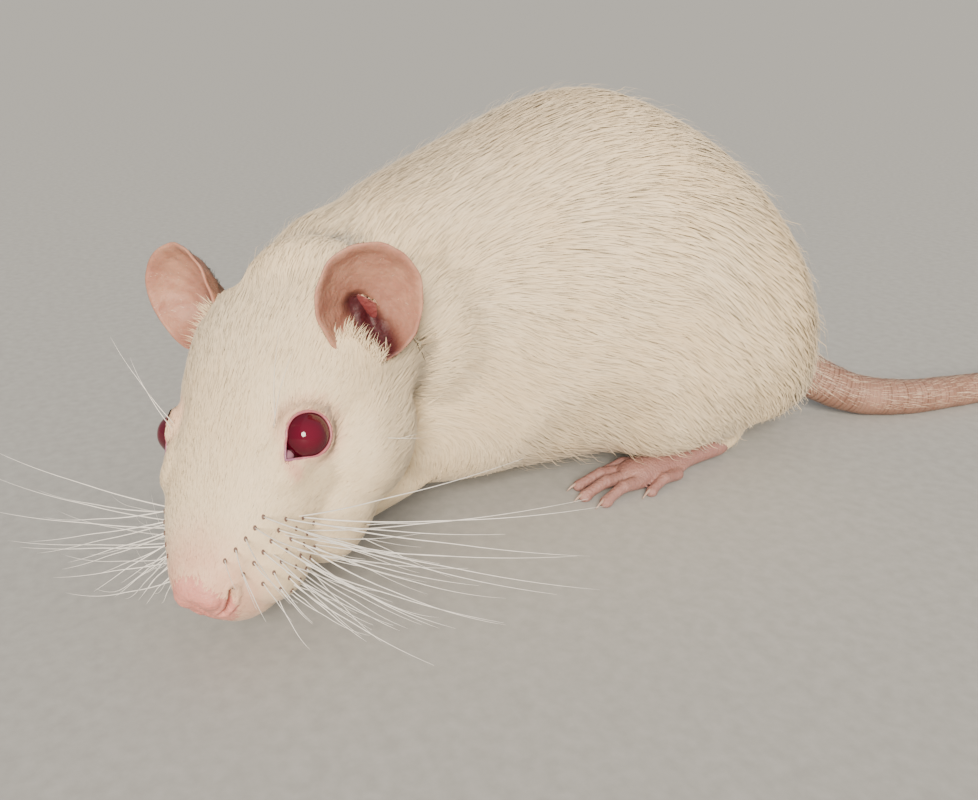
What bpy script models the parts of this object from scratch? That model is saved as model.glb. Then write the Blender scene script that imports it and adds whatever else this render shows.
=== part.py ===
"""A white pet rat with pink eyes, crouching with its head turned to its left: a still, life-size model.

Metres, +Z up. The trunk lies along Y, with the head towards -Y and the tail along +Y, and the animal's left is +X.
Head and body are one soft form, blended from lofts and rounded shapes and then parted by thin cuts into nodes.
Rows of numbers are in millimetres.
"""

import math
import random

import bmesh
import bpy
import numpy as np
from mathutils import Matrix, Vector

MM = 0.001
GAP = 0.3 * MM
MOUTH_GAP = 0.5 * MM
SPAN = 800 * MM
UP = Vector((0, 0, 1))
LEFT = 1
RIGHT = -1
SIDES = {"left": LEFT, "right": RIGHT}

# Driving sizes of a large adult.
BACK_HEIGHT = 78 * MM
TRUNK_HALF_WIDTH = 38 * MM
EYE_RADIUS = 3.7 * MM
EAR_LENGTH = 18.5 * MM
EAR_WIDTH = 16 * MM
EAR_DEPTH = 5 * MM
EAR_THICKNESS = 0.9 * MM
CLAW_LENGTH = 2.6 * MM
TAIL_ROOT_RADIUS = 6.3 * MM
TAIL_RADIUS = 4.9 * MM
TAIL_TIP_RADIUS = 1.3 * MM
WHISKER_RADIUS = 0.3 * MM
WHISKER_TIP = 0.08 * MM
WHISKER_CLEARANCE = 5 * MM

# How fine each blended form is, and how many triangles it keeps.
TRUNK_VOXEL = 1.6 * MM
BODY_VOXEL = 0.8 * MM
FOOT_VOXEL = 0.45 * MM
BODY_TRIANGLES = 4400
HIND_FOOT_TRIANGLES = 500
FOREFOOT_TRIANGLES = 340
PRISM_SIDES = 28

# The head's pose: turned to the animal's left, nodded down, and rolled so that its left side is raised.
HEAD_TURN = math.radians(48)
HEAD_NOD = math.radians(36)
HEAD_ROLL = math.radians(13)
NOSE_TIP = Vector((51.8, -84.4, 12.6)) * MM

# The trunk from the rump to the shoulders: place along Y and across X, and then as shares of the trunk's half
# width and of the back's height, the half width, the middle's height, the rise to the back, the drop to the belly.
TRUNK_ROWS = [
    (60.5, 4.0, 0.18, 0.150, 0.080, 0.080),
    (57.5, 3.5, 0.38, 0.235, 0.175, 0.180),
    (51.5, 2.5, 0.62, 0.320, 0.260, 0.255),
    (42, 0.5, 0.84, 0.400, 0.355, 0.350),
    (29, -2.0, 0.96, 0.460, 0.440, 0.415),
    (12, -4.0, 1.00, 0.500, 0.495, 0.460),
    (-3, -4.0, 0.96, 0.490, 0.485, 0.460),
    (-20, -2.0, 0.88, 0.460, 0.435, 0.430),
    (-34, 2.0, 0.78, 0.435, 0.400, 0.380),
    (-44, 6.0, 0.66, 0.420, 0.375, 0.320),
]

# The head from the nose's tip back, in its own frame: distance back, half width, rise, drop.
HEAD_ROWS = [
    (0.0, 2.3, 2.2, 4.4),
    (1.1, 3.9, 3.3, 8.0),
    (3.7, 6.1, 4.4, 11.6),
    (8.4, 9.2, 6.0, 13.8),
    (14.0, 11.6, 8.2, 14.3),
    (20.5, 13.6, 10.4, 15.0),
    (28.0, 15.4, 12.2, 16.2),
    (35.3, 17.8, 13.5, 17.0),
    (42.8, 19.6, 14.2, 17.4),
    (50.2, 20.0, 14.0, 17.0),
]

# Places on the head's left side, in the head's frame: X forward of the nose's tip, Y to the left, Z up.
EYE_CENTRE = (-26.1, 12.1, 5.1)
EYE_GAZE = (0.25, 0.80, 0.54)
EYE_CORNER = (0.875, -0.264, 0.266)

# The ears are turned each its own way: root, the way its tip points and the way its cup faces.
EARS = {
    "left": ((-42.2, 18.0, 2.6), (-0.59, 0.04, 0.81), (0.72, 0.62, 0.31)),
    "right": ((-45.0, 17.0, 4.0), (-0.54, 0.33, 0.78), (0.79, 0.0, 0.61)),
}
HEAD_CUT = 52 * MM
NOSE_CUT = 4.2 * MM

# The legs' bones in millimetres, as x, y, z and the limb's radius there.
SHANKS = {
    "left": [(19, 24, 20, 8), (20, 31, 13, 5.6), (19.4, 33.5, 8.5, 4.4), (19, 32.5, 5.5, 4.0)],
    "right": [(-27, 22, 20, 8), (-28.5, 29, 13, 5.6), (-28.4, 31.5, 8.5, 4.4), (-28, 30.5, 5.5, 4.0)],
}
FOREARMS = {
    "left": [
        (20, -30, 22, 9),
        (21, -39, 15, 6.0),
        (21, -49, 8.5, 4.2),
        (21, -55.5, 5.5, 3.4),
        (21, -58.5, 4, 3.1),
    ],
    "right": [
        (-16, -30, 22, 9),
        (-16, -36, 15, 6.0),
        (-14, -45, 8.5, 4.2),
        (-12, -51, 5.5, 3.4),
        (-11, -54, 4, 3.1),
    ],
}
HIND_FEET = {"left": ((18.4, 34.0), (25.8, -8.5)), "right": ((-27.6, 32.0), (-34.5, -10.0))}
FOREFEET = {"left": ((21.0, -56.5), (23.5, -73.5)), "right": ((-11.0, -52.0), (-7.0, -69.0))}
HAUNCH_SPANS = {"left": (12, 60), "right": (-17, -60)}
ARM_SPANS = {"left": (13, 33), "right": (-7, -60)}

# Where each foot is parted from its leg: distance back from the heel, height, and the cut's direction.
ANKLE = (-1.0, 8.0, (0, 0.08, -1))
WRIST = (-4.0, 7.0, (0.1, -0.86, -0.5))

# The tail's middle line from inside the rump to its tip: x, y and height above its resting height.
TAIL_ROWS = [
    (2.0, 51, 10.0),
    (4.8, 61, 7.4),
    (11.5, 75, 1.4),
    (15.8, 88, 0.0),
    (17.3, 101, 0.0),
    (18.0, 115, 0.0),
    (18.0, 138, 0.0),
    (16.0, 164, 0.0),
    (12.0, 191, 0.0),
    (7.5, 218, 0.0),
    (4.0, 246, 0.0),
]
TAIL_NODES = 4
TAIL_SIDES = 11
TAIL_STEPS = 3
TAIL_FLARE = TAIL_ROOT_RADIUS - TAIL_RADIUS
TAIL_SINK = 0.15 * MM

FUR = ("fur", (0.86, 0.83, 0.76), 0.85)
SKIN = ("skin", (0.80, 0.55, 0.52), 0.55)
EYE = ("eye", (0.42, 0.02, 0.05), 0.08)


def frame_of(x_axis, y_axis, z_axis, origin):
    """A matrix with these axes and this origin."""
    turn = Matrix((x_axis, y_axis, z_axis)).transposed()
    return Matrix.Translation(origin) @ turn.to_4x4()


def axis_frame(point, along, guide=UP):
    """A frame at a point with X along a direction and Z as near to the guide as it can be."""
    forward = Vector(along).normalized()
    if abs(forward.dot(guide)) > 0.95:
        guide = Vector((0, 1, 0))
    left = guide.cross(forward).normalized()
    return frame_of(forward, left, forward.cross(left), point)


def head_frame():
    """The head's own frame, with its origin at the nose's tip."""
    level = Vector((math.sin(HEAD_TURN), -math.cos(HEAD_TURN), 0))
    forward = level * math.cos(HEAD_NOD) - UP * math.sin(HEAD_NOD)
    frame = axis_frame(NOSE_TIP, forward)
    return frame @ Matrix.Rotation(HEAD_ROLL, 4, "X")


def sided(values, side):
    """A place or direction of the left side, mirrored for the right one."""
    return Vector((values[0], values[1] * side, values[2]))


def smooth_rows(rows, steps):
    """Rows read from one smooth curve through the given rows, with some steps to each span."""
    rows = np.array(rows, float)
    padded = np.vstack([2 * rows[0] - rows[1], rows, 2 * rows[-1] - rows[-2]])
    found = []
    for before, start, end, after in zip(padded, padded[1:], padded[2:], padded[3:]):
        for step in range(steps):
            t = step / steps
            bend = 2 * before - 5 * start + 4 * end - after
            twist = 3 * start - before - 3 * end + after
            found.append(start + 0.5 * t * ((end - before) + t * (bend + t * twist)))
    found.append(rows[-1])
    return np.array(found)


def section(frame, half_width, rise, drop, count, upper=2.0, lower=2.0):
    """A cross-section in a frame's YZ plane: half a superellipse above the centre and half below it."""
    points = []
    for i in range(count):
        angle = 2 * math.pi * i / count
        reach, power = (rise, upper) if math.sin(angle) > 0 else (drop, lower)
        across = math.copysign(abs(math.cos(angle)) ** (2 / power), math.cos(angle))
        height = math.copysign(abs(math.sin(angle)) ** (2 / power), math.sin(angle))
        points.append(frame @ Vector((0, across * half_width, height * reach)))
    return points


def add_loft(bm, rings):
    """Adds a closed skin over rings of equal length, with a fan over each end."""
    rows = [[bm.verts.new(point) for point in ring] for ring in rings]
    count = len(rows[0])
    for row, following in zip(rows, rows[1:]):
        for i in range(count):
            j = (i + 1) % count
            bm.faces.new((row[i], row[j], following[j], following[i]))
    for row in (rows[0], rows[-1]):
        middle = bm.verts.new(sum((vert.co for vert in row), Vector()) / count)
        for i in range(count):
            bm.faces.new((row[i], row[(i + 1) % count], middle))


def add_limb(bm, rows, frame=Matrix(), steps=4, count=16, flatness=1.0):
    """Adds a tapering limb with round ends along rows of x, y, z and radius in a frame."""
    rows = smooth_rows(rows, steps) * MM
    points = [frame @ Vector(row[:3]) for row in rows]
    rings = []
    for i, radius in enumerate(rows[:, 3]):
        along = points[min(i + 1, len(points) - 1)] - points[max(i - 1, 0)]
        place = axis_frame(points[i], along)
        stops = [0]
        if i == 0:
            stops = [-80, -50, -25, 0]
        if i == len(points) - 1:
            stops = [0, 25, 50, 80]
        for stop in stops:
            angle = math.radians(stop)
            shifted = place @ Matrix.Translation((radius * math.sin(angle), 0, 0))
            wide = radius * math.cos(angle)
            rings.append(section(shifted, wide, wide * flatness, wide * flatness, count))
    add_loft(bm, rings)


def add_ball(bm, frame, centre, radii, rings=14):
    """Adds an ellipsoid, with its centre and radii in millimetres in a frame."""
    shape = Matrix.Diagonal((*[radius * MM for radius in radii], 1))
    placed = frame @ Matrix.Translation(Vector(centre) * MM) @ shape
    bmesh.ops.create_uvsphere(bm, u_segments=rings * 2 - 4, v_segments=rings, radius=1, matrix=placed)


def make_object(name, fill):
    """An object whose mesh a function fills, with its faces pointing out."""
    bm = bmesh.new()
    fill(bm)
    bmesh.ops.recalc_face_normals(bm, faces=bm.faces)
    mesh = bpy.data.meshes.new(name)
    bm.to_mesh(mesh)
    bm.free()
    made = bpy.data.objects.new(name, mesh)
    bpy.context.scene.collection.objects.link(made)
    return made


def copy_of(source, name):
    """A copy of an object with a mesh of its own."""
    copied = bpy.data.objects.new(name, source.data.copy())
    bpy.context.scene.collection.objects.link(copied)
    return copied


def drop(thing):
    """Removes an object and its mesh."""
    mesh = thing.data
    bpy.data.objects.remove(thing)
    bpy.data.meshes.remove(mesh)


def settle(thing):
    """Turns an object's modifiers into its mesh."""
    graph = bpy.context.evaluated_depsgraph_get()
    mesh = bpy.data.meshes.new_from_object(thing.evaluated_get(graph))
    thing.modifiers.clear()
    former = thing.data
    thing.data = mesh
    bpy.data.meshes.remove(former)


def keep_largest(thing):
    """Triangulates a mesh and keeps only its largest closed surface."""
    bm = bmesh.new()
    bm.from_mesh(thing.data)
    bmesh.ops.remove_doubles(bm, verts=bm.verts, dist=0.00001)
    bmesh.ops.dissolve_degenerate(bm, dist=0.000005, edges=bm.edges)
    bmesh.ops.triangulate(bm, faces=bm.faces)
    waiting = set(bm.faces)
    islands = []
    while waiting:
        front = [waiting.pop()]
        island = []
        while front:
            face = front.pop()
            island.append(face)
            for edge in face.edges:
                for other in edge.link_faces:
                    if other in waiting:
                        waiting.remove(other)
                        front.append(other)
        islands.append(island)
    islands.sort(key=lambda island: sum(face.calc_area() for face in island))
    scraps = [face for island in islands[:-1] for face in island]
    bmesh.ops.delete(bm, geom=scraps, context="FACES")
    loose = [vert for vert in bm.verts if not vert.link_faces]
    bmesh.ops.delete(bm, geom=loose, context="VERTS")
    bm.to_mesh(thing.data)
    bm.free()


def combine(target, tool, operation, solver="EXACT"):
    """Applies a Boolean of a tool to a target and removes the tool."""
    step = target.modifiers.new("combine", "BOOLEAN")
    step.operation = operation
    step.solver = solver
    step.object = tool
    settle(target)
    drop(tool)
    keep_largest(target)


def blend(name, fill, voxel, rounds):
    """Fuses overlapping closed shapes into one soft form."""
    thing = make_object(name, fill)
    fuse = thing.modifiers.new("fuse", "REMESH")
    fuse.mode = "VOXEL"
    fuse.voxel_size = voxel
    soften = thing.modifiers.new("soften", "SMOOTH")
    soften.factor = 0.5
    soften.iterations = rounds
    settle(thing)
    return thing


def thin_out(thing, triangles):
    """Brings a mesh down to about a number of triangles."""
    present = sum(len(face.vertices) - 2 for face in thing.data.polygons)
    step = thing.modifiers.new("thin", "DECIMATE")
    step.ratio = min(1, triangles / present)
    step.use_collapse_triangulate = True
    settle(thing)
    keep_largest(thing)


def half_space(point, along):
    """The region ahead of a plane, as a function of how far it is grown."""
    frame = axis_frame(point, along)

    def region(grow):
        place = frame @ Matrix.Translation((SPAN / 2 - grow, 0, 0))
        return make_object("half_space", lambda bm: bmesh.ops.create_cube(bm, size=SPAN, matrix=place))

    return region


def hull(frame, balls, rings=9):
    """The region inside the hull of some ellipsoids, as a function of how far it is grown."""

    def region(grow):
        def fill(bm):
            for centre, radii in balls:
                add_ball(bm, frame, centre, [radius + grow / MM for radius in radii], rings)
            points = [vert.co.copy() for vert in bm.verts]
            bm.clear()
            corners = [bm.verts.new(point) for point in points]
            bmesh.ops.convex_hull(bm, input=corners)
            loose = [vert for vert in bm.verts if not vert.link_faces]
            bmesh.ops.delete(bm, geom=loose, context="VERTS")

        return make_object("hull", fill)

    return region


def prism(outline, start, end):
    """The region between two places along X and inside the hull of some ellipses of the YZ plane."""
    turns = [2 * math.pi * i / PRISM_SIDES for i in range(PRISM_SIDES)]

    def region(grow):
        def fill(bm):
            for y, z, wide, tall in outline:
                for x in (min(start, end) - grow / MM, max(start, end) + grow / MM):
                    for turn in turns:
                        across = y + (wide + grow / MM) * math.cos(turn)
                        height = z + (tall + grow / MM) * math.sin(turn)
                        bm.verts.new(Vector((x, across, height)) * MM)
            bmesh.ops.convex_hull(bm, input=bm.verts)
            loose = [vert for vert in bm.verts if not vert.link_faces]
            bmesh.ops.delete(bm, geom=loose, context="VERTS")

        return make_object("prism", fill)

    return region


def part_off(source, name, region, gap=GAP):
    """Cuts a named piece out of a source where it lies in a region, and leaves a gap between the two."""
    piece = copy_of(source, name)
    combine(piece, region(-gap / 2), "INTERSECT")
    combine(source, region(gap / 2), "DIFFERENCE")
    return piece


def rest_on_floor(thing):
    """Gives a piece flats at the floor's level."""
    combine(thing, half_space(Vector((0, 0, 0)), -UP)(0), "DIFFERENCE")


def fill_trunk(bm):
    """The trunk's loft, the haunches and the shoulders."""
    rings = []
    for y, x, wide, middle, rise, fall in smooth_rows(TRUNK_ROWS, 4):
        centre = Vector((x * MM, y * MM, middle * BACK_HEIGHT))
        frame = axis_frame(centre, (0, -1, 0))
        sizes = (wide * TRUNK_HALF_WIDTH, rise * BACK_HEIGHT, fall * BACK_HEIGHT)
        rings.append(section(frame, *sizes, 32, 2.1, 2.7))
    add_loft(bm, rings)
    for side in (LEFT, RIGHT):
        add_ball(bm, Matrix(), (24.5 * side - 4, 18, 31), (14, 28, 27))
        add_ball(bm, Matrix(), (17 * side + 1, -30, 30), (13, 17, 22))
    add_ball(bm, Matrix(), (6.5, -46.5, 36.5), (22, 18.5, 23.5))


def fill_head(bm, head):
    """The head's loft with its cheeks, jowls, brows, whisker pads, lips, chin, nose and nape."""
    rings = []
    for back, wide, rise, fall in smooth_rows(HEAD_ROWS, 3):
        place = head @ Matrix.Translation((-back * MM, 0, 0))
        rings.append(section(place, wide * MM, rise * MM, fall * MM, 32, 2.2, 2.3))
    add_loft(bm, rings)
    for side in (LEFT, RIGHT):
        add_ball(bm, head, sided((-34, 12.0, -7), side), (12.5, 8.7, 11))
        add_ball(bm, head, sided((-23.5, 9.8, -9.6), side), (11, 6.6, 7.6))
        add_ball(bm, head, sided((-11.5, 6.4, -4.4), side), (8, 5.4, 7))
        add_ball(bm, head, sided((-22, 9.0, 4), side), (7, 5, 5))
        add_ball(bm, head, sided(EYE_CENTRE, side), (5.4, 4.3, 4.8))
        add_ball(bm, head, sided((-1.9, 2.3, 0.1), side), (2.4, 2.1, 2.2))
        lip = [(-4.5, 1.6, -8.6, 1.3), (-8.5, 5.2, -9.8, 1.6), (-13.5, 8.4, -9.6, 1.5), (-18, 10.6, -9.4, 1.0)]
        add_limb(bm, [(x, y * side, z, r) for x, y, z, r in lip], head)
    add_ball(bm, head, (-12.5, 0, -11.0), (7.5, 4.6, 3.6))
    add_ball(bm, head, (-53, 1, 2), (12, 13, 13.6))


def make_body(head):
    """The head, neck, trunk and upper legs as one soft form."""
    body = blend("trunk", fill_trunk, TRUNK_VOXEL, 14)
    root = TAIL_ROOT_RADIUS / MM

    def fill(bm):
        bm.from_mesh(body.data)
        fill_head(bm, head)
        for name in SIDES:
            add_limb(bm, SHANKS[name])
            add_limb(bm, FOREARMS[name])
        add_limb(bm, [(x, y, z + root, root) for x, y, z in TAIL_ROWS[:3]])

    whole = blend("body", fill, BODY_VOXEL, 6)
    drop(body)
    thin_out(whole, BODY_TRIANGLES)
    return whole


def eye_frame(head, side):
    """A frame at an eye's centre with X towards its front corner and Z along the gaze."""
    centre = head @ (sided(EYE_CENTRE, side) * MM)
    turn = head.to_3x3()
    gaze = (turn @ sided(EYE_GAZE, side)).normalized()
    corner = turn @ sided(EYE_CORNER, side)
    forward = (corner - gaze * corner.dot(gaze)).normalized()
    return frame_of(forward, gaze.cross(forward), gaze, centre)


def open_eye(skull, head, side):
    """Cuts the almond opening between an eye's lids, and then its socket behind them."""
    frame = eye_frame(head, side)
    almond = [((-0.2, 0, 5), (3.5, 3.35, 4.0)), ((4.5, 0, 5), (0.5, 0.4, 4.0))]
    combine(skull, hull(frame, almond, 8)(0), "DIFFERENCE")
    socket = EYE_RADIUS / MM + GAP / MM
    combine(skull, hull(frame, [((0, 0, 0), (socket, socket, socket))], 8)(0), "DIFFERENCE")


def open_ear(skull, head, side_name):
    """Cuts the ear's canal into the head at the bottom of the ear's cup."""
    canal = [((0.5, 0, 5.0), (2.0, 1.8, 3.2)), ((-4.5, 0, 3.0), (1.2, 1.0, 1.4))]
    combine(skull, hull(ear_frame(head, side_name), canal, 7)(0), "DIFFERENCE")


def make_eye(head, side_name):
    """One eyeball."""
    radius = EYE_RADIUS / MM
    frame = eye_frame(head, SIDES[side_name])
    return make_object(f"eye_{side_name}", lambda bm: add_ball(bm, frame, (0, 0, 0), (radius, radius, radius), 9))


def ear_frame(head, side_name):
    """A frame at an ear's root, with X out of its cup and Z towards its tip."""
    turn = head.to_3x3()
    root, tip, face = (sided(values, SIDES[side_name]) for values in EARS[side_name])
    face = (turn @ face).normalized()
    tip = turn @ tip
    tip = (tip - face * tip.dot(face)).normalized()
    return frame_of(face, tip.cross(face), tip, head @ (root * MM))


def fill_ear(bm, head, side_name):
    """The ear's inner face: a rounded cup whose hollow deepens towards its root and whose front edge curls in."""
    frame = ear_frame(head, side_name)
    side = SIDES[side_name]
    count = 20
    rings = []
    for reach in (0.3, 0.6, 0.85, 1.0):
        ring = []
        for i in range(count):
            angle = 2 * math.pi * i / count
            across = math.cos(angle)
            along = math.sin(angle)
            rear = across * side
            wide = 0.5 * EAR_WIDTH * (1 + 0.10 * along)
            y = wide * reach * across
            z = EAR_LENGTH * (0.30 + 0.18 * reach + 0.5 * reach * along)
            x = EAR_DEPTH * (reach ** 2 - 1)
            x += 0.16 * EAR_WIDTH * reach ** 3 * max(0, -rear) ** 2
            x += 0.10 * EAR_WIDTH * reach ** 3 * max(0, -along) ** 2
            ring.append(bm.verts.new(frame @ Vector((x, y, z))))
        rings.append(ring)
    middle = bm.verts.new(frame @ Vector((-EAR_DEPTH, 0, 0.30 * EAR_LENGTH)))
    for i in range(count):
        j = (i + 1) % count
        bm.faces.new((middle, rings[0][i], rings[0][j]))
        for ring, outer in zip(rings, rings[1:]):
            bm.faces.new((ring[i], outer[i], outer[j]))
            bm.faces.new((ring[i], outer[j], ring[j]))


def make_ear(head, side_name, skull, neck):
    """One ear as a thin cup that stands on the head, clear of the neck behind it."""
    ear = make_object(f"ear_{side_name}", lambda bm: fill_ear(bm, head, side_name))
    shell = ear.modifiers.new("shell", "SOLIDIFY")
    shell.thickness = EAR_THICKNESS
    shell.offset = 0
    settle(ear)
    for support in (skull, neck):
        grown = copy_of(support, "grown")
        swell = grown.modifiers.new("swell", "DISPLACE")
        swell.strength = GAP
        swell.mid_level = 0
        settle(grown)
        combine(ear, grown, "DIFFERENCE")
    return ear


def whisker_rows(generator, row, column):
    """One whisker of the left side as rows of x, y, z and radius in the head's frame."""
    root = Vector((-8.4 - 2.8 * column - 0.8 * row, 8.0 + 0.8 * column, -6.4 + 2.6 * row))
    heading = math.radians(62 + 13 * column + generator.uniform(-4, 4))
    lift = math.radians(-8 + 13 * row + generator.uniform(-3, 3))
    length = 30 + 7.5 * column + generator.uniform(-3, 3)
    out = Vector((math.cos(heading) * math.cos(lift), math.sin(heading) * math.cos(lift), math.sin(lift)))
    sweep = Vector((-1, 0, -0.15)) * length * 0.16
    rows = []
    for step in range(5):
        t = step / 4
        place = root + out * length * t + sweep * t * t
        radius = WHISKER_RADIUS + (WHISKER_TIP - WHISKER_RADIUS) * t
        rows.append((*place, radius / MM))
    return rows


def clear_of_floor(point, share):
    """A point at a share of a whisker's length, bent up so that the whisker passes above the floor."""
    lifted = 0.5 * (point.z + math.hypot(point.z, WHISKER_CLEARANCE)) + 0.2 * WHISKER_CLEARANCE
    return point.lerp(Vector((point.x, point.y, lifted)), min(1, 2 * share))


def add_whisker(bm, head, rows):
    """Adds one tapering whisker of three sides."""
    last = len(rows) - 1
    points = [clear_of_floor(head @ (Vector(row[:3]) * MM), i / last) for i, row in enumerate(rows)]
    rings = []
    for i, row in enumerate(rows):
        along = points[min(i + 1, last)] - points[max(i - 1, 0)]
        radius = row[3] * MM
        rings.append(section(axis_frame(points[i], along), radius, radius, radius, 3))
    add_loft(bm, rings)


def make_whisker_pad(muzzle, head, side_name):
    """One whisker pad, parted from the muzzle, with its whiskers grown from it."""
    side = SIDES[side_name]
    region = hull(head, [(sided((-11.8, 10.6, -4.2), side), (7.4, 5.0, 6.0))], 8)
    pad = part_off(muzzle, f"whisker_pad_{side_name}", region)
    generator = random.Random(7 if side == LEFT else 11)

    def fill(bm):
        for row in range(3):
            for column in range(3):
                rows = whisker_rows(generator, row, column)
                add_whisker(bm, head, [(x, y * side, z, r) for x, y, z, r in rows])

    combine(pad, make_object("whiskers", fill), "UNION")
    return pad


def cut_nostrils(nose, head):
    """Cuts the two comma-shaped nostrils and the cleft below them."""
    for side in (LEFT, RIGHT):
        comma = [(sided((-0.4, 2.4, 0.2), side), (0.9, 0.8, 0.7)), (sided((-2.4, 5.2, -0.8), side), (0.8, 1.0, 0.5))]
        combine(nose, hull(head, comma, 5)(0), "DIFFERENCE")
    cleft = [((0.6, 0, -1.6), (0.5, 0.3, 0.5)), ((-2.0, 0, -7.6), (0.8, 0.3, 0.8))]
    combine(nose, hull(head, cleft, 5)(0), "DIFFERENCE")


def toe_rows(root, heading, length, radius):
    """One toe as rows of x, y, z and radius: it rises to a knuckle and comes down to its pad."""
    forward = Vector((math.cos(heading), math.sin(heading), 0))
    rows = []
    for reach, height, thick in ((0, 2.3, 1.15), (0.5, 2.9, 0.95), (0.8, 2.0, 0.85), (1.0, 1.2, 0.9)):
        place = Vector(root) + forward * length * reach
        rows.append((place.x, place.y, height * radius / 1.5, thick * radius))
    return rows


def add_claw(bm, frame, rows):
    """Adds a claw that curves down from the end of a toe."""
    before, tip = (Vector(row[:3]) for row in rows[-2:])
    forward = Vector((tip.x - before.x, tip.y - before.y, 0)).normalized() * CLAW_LENGTH / MM
    base = tip + Vector((0, 0, 0.25))
    points = []
    for reach, fall, thick in ((-0.3, 0, 0.55), (0.4, 0.05, 0.48), (0.8, 0.45, 0.3), (1.1, 0.9, 0.1)):
        place = base + forward * reach - Vector((0, 0, fall))
        points.append((frame @ (Vector((place.x, place.y, max(place.z, 0.3))) * MM), thick * MM))
    rings = []
    for point, thick in points:
        along = frame.to_3x3() @ forward
        rings.append(section(axis_frame(point, along), thick, thick, thick, 5))
    add_loft(bm, rings)


def foot_frame(heel, toe):
    """A frame on the floor with its origin at the heel and X towards the toes."""
    start = Vector((*heel, 0)) * MM
    end = Vector((*toe, 0)) * MM
    return axis_frame(start, end - start)


def joint_plane(heel, joint, way):
    """The foot's side (1) or the leg's side (-1) of the plane that parts them, and half the gap."""
    back, height, direction = joint
    along = Vector(direction).normalized() * way
    return half_space(Vector((heel[0], heel[1] - back, height)) * MM, along)(GAP / 2)


def make_foot(name, heel, frame, leg, toes, sole, thumb, triangles, joint):
    """A foot of a sole, toes, claws and the start of its leg, with flats on the floor."""

    def fill(bm):
        add_limb(bm, sole, frame, flatness=0.72)
        add_limb(bm, leg)
        for rows in toes:
            add_limb(bm, rows, frame)
        if thumb:
            add_ball(bm, frame, *thumb)

    foot = blend(name, fill, FOOT_VOXEL, 3)
    thin_out(foot, triangles)

    def claws(bm):
        for rows in toes:
            add_claw(bm, frame, rows)

    combine(foot, make_object("claws", claws), "UNION")
    combine(foot, joint_plane(heel, joint, -1), "DIFFERENCE")
    rest_on_floor(foot)
    return foot


def make_hind_foot(side_name):
    """A long hind foot with three long middle toes and two shorter outer ones."""
    side = SIDES[side_name]
    frame = foot_frame(*HIND_FEET[side_name])
    sole = [(3.6, 0, 3.6, 3.6), (11, 0, 3.0, 3.2), (19, 0, 2.6, 3.8), (26, 0, 2.4, 4.2)]
    toes = []
    for across, start, length, radius in (
        (-4.4, 20.0, 10.0, 1.35),
        (-2.9, 27.0, 10.6, 1.45),
        (0.0, 28.0, 11.4, 1.5),
        (2.9, 27.0, 10.6, 1.45),
        (4.2, 18.0, 9.0, 1.3),
    ):
        heading = math.radians(across * 2.6)
        place = (start, across, 0)
        rows = toe_rows(place, heading, length, radius)
        toes.append([(x, y * side, z, r) for x, y, z, r in rows])
    name = f"hind_foot_{side_name}"
    heel = HIND_FEET[side_name][0]
    return make_foot(name, heel, frame, SHANKS[side_name], toes, sole, None, HIND_FOOT_TRIANGLES, ANKLE)


def make_forefoot(side_name):
    """A small forefoot with four fingers and the nub of a thumb."""
    side = SIDES[side_name]
    frame = foot_frame(*FOREFEET[side_name])
    sole = [(1.5, 0, 2.6, 2.9), (5, 0, 2.2, 3.1), (8.5, 0, 2.0, 3.5)]
    toes = []
    for across, start, length in ((-3.1, 8.0, 5.4), (-1.1, 9.5, 6.2), (1.1, 9.5, 6.2), (3.1, 8.0, 5.4)):
        rows = toe_rows((start, across, 0), math.radians(across * 6), length, 1.15)
        toes.append([(x, y * side, z, r) for x, y, z, r in rows])
    thumb = (sided((4.5, -3.2, 1.6), side), (1.5, 1.2, 1.1))
    name = f"forefoot_{side_name}"
    heel = FOREFEET[side_name][0]
    return make_foot(name, heel, frame, FOREARMS[side_name], toes, sole, thumb, FOREFOOT_TRIANGLES, WRIST)


def tail_radius(share):
    """The tail's radius at a share of its length."""
    return TAIL_RADIUS + (TAIL_TIP_RADIUS - TAIL_RADIUS) * share ** 0.9 + TAIL_FLARE * (1 - share) ** 9


def tail_line():
    """The tail's middle line, from where it leaves the rump to its tip, as points and radii."""
    rows = smooth_rows(TAIL_ROWS, TAIL_STEPS)
    steps = np.linalg.norm(np.diff(rows[:, :2], axis=0), axis=1)
    shares = np.concatenate([[0], np.cumsum(steps)]) / steps.sum()
    line = []
    for (x, y, z), share in zip(rows, shares):
        radius = tail_radius(share)
        line.append((Vector((x * MM, y * MM, z * MM + radius - TAIL_SINK)), radius))
    return line


def tail_start():
    """Where the first length of tail meets the rump's stump, and the tail's direction there."""
    line = tail_line()
    first = TAIL_STEPS + 1
    return first, line[first][0], line[first + 1][0] - line[first - 1][0]


def make_tail():
    """The tail as a few tapering lengths that lie on the floor."""
    line = tail_line()
    first, _, _ = tail_start()
    stops = [round(first + (len(line) - 1 - first) * k / TAIL_NODES) for k in range(TAIL_NODES + 1)]
    lengths = []
    for number, (start, end) in enumerate(zip(stops, stops[1:]), 1):
        rings = []
        for i in range(start, end + 1):
            point, radius = line[i]
            along = line[min(i + 1, len(line) - 1)][0] - line[i - 1][0]
            along.normalize()
            if i == start:
                point = point + along * GAP / 2
            if i == end and number < TAIL_NODES:
                point = point - along * GAP / 2
            rings.append(section(axis_frame(point, along), radius, radius, radius, TAIL_SIDES))
            if i == len(line) - 1:
                tip = axis_frame(point + along * radius * 0.8, along)
                rings.append(section(tip, radius * 0.5, radius * 0.5, radius * 0.5, TAIL_SIDES))
        length = make_object(f"tail_{number}", lambda bm: add_loft(bm, rings))
        keep_largest(length)
        rest_on_floor(length)
        lengths.append(length)
    return lengths


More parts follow.
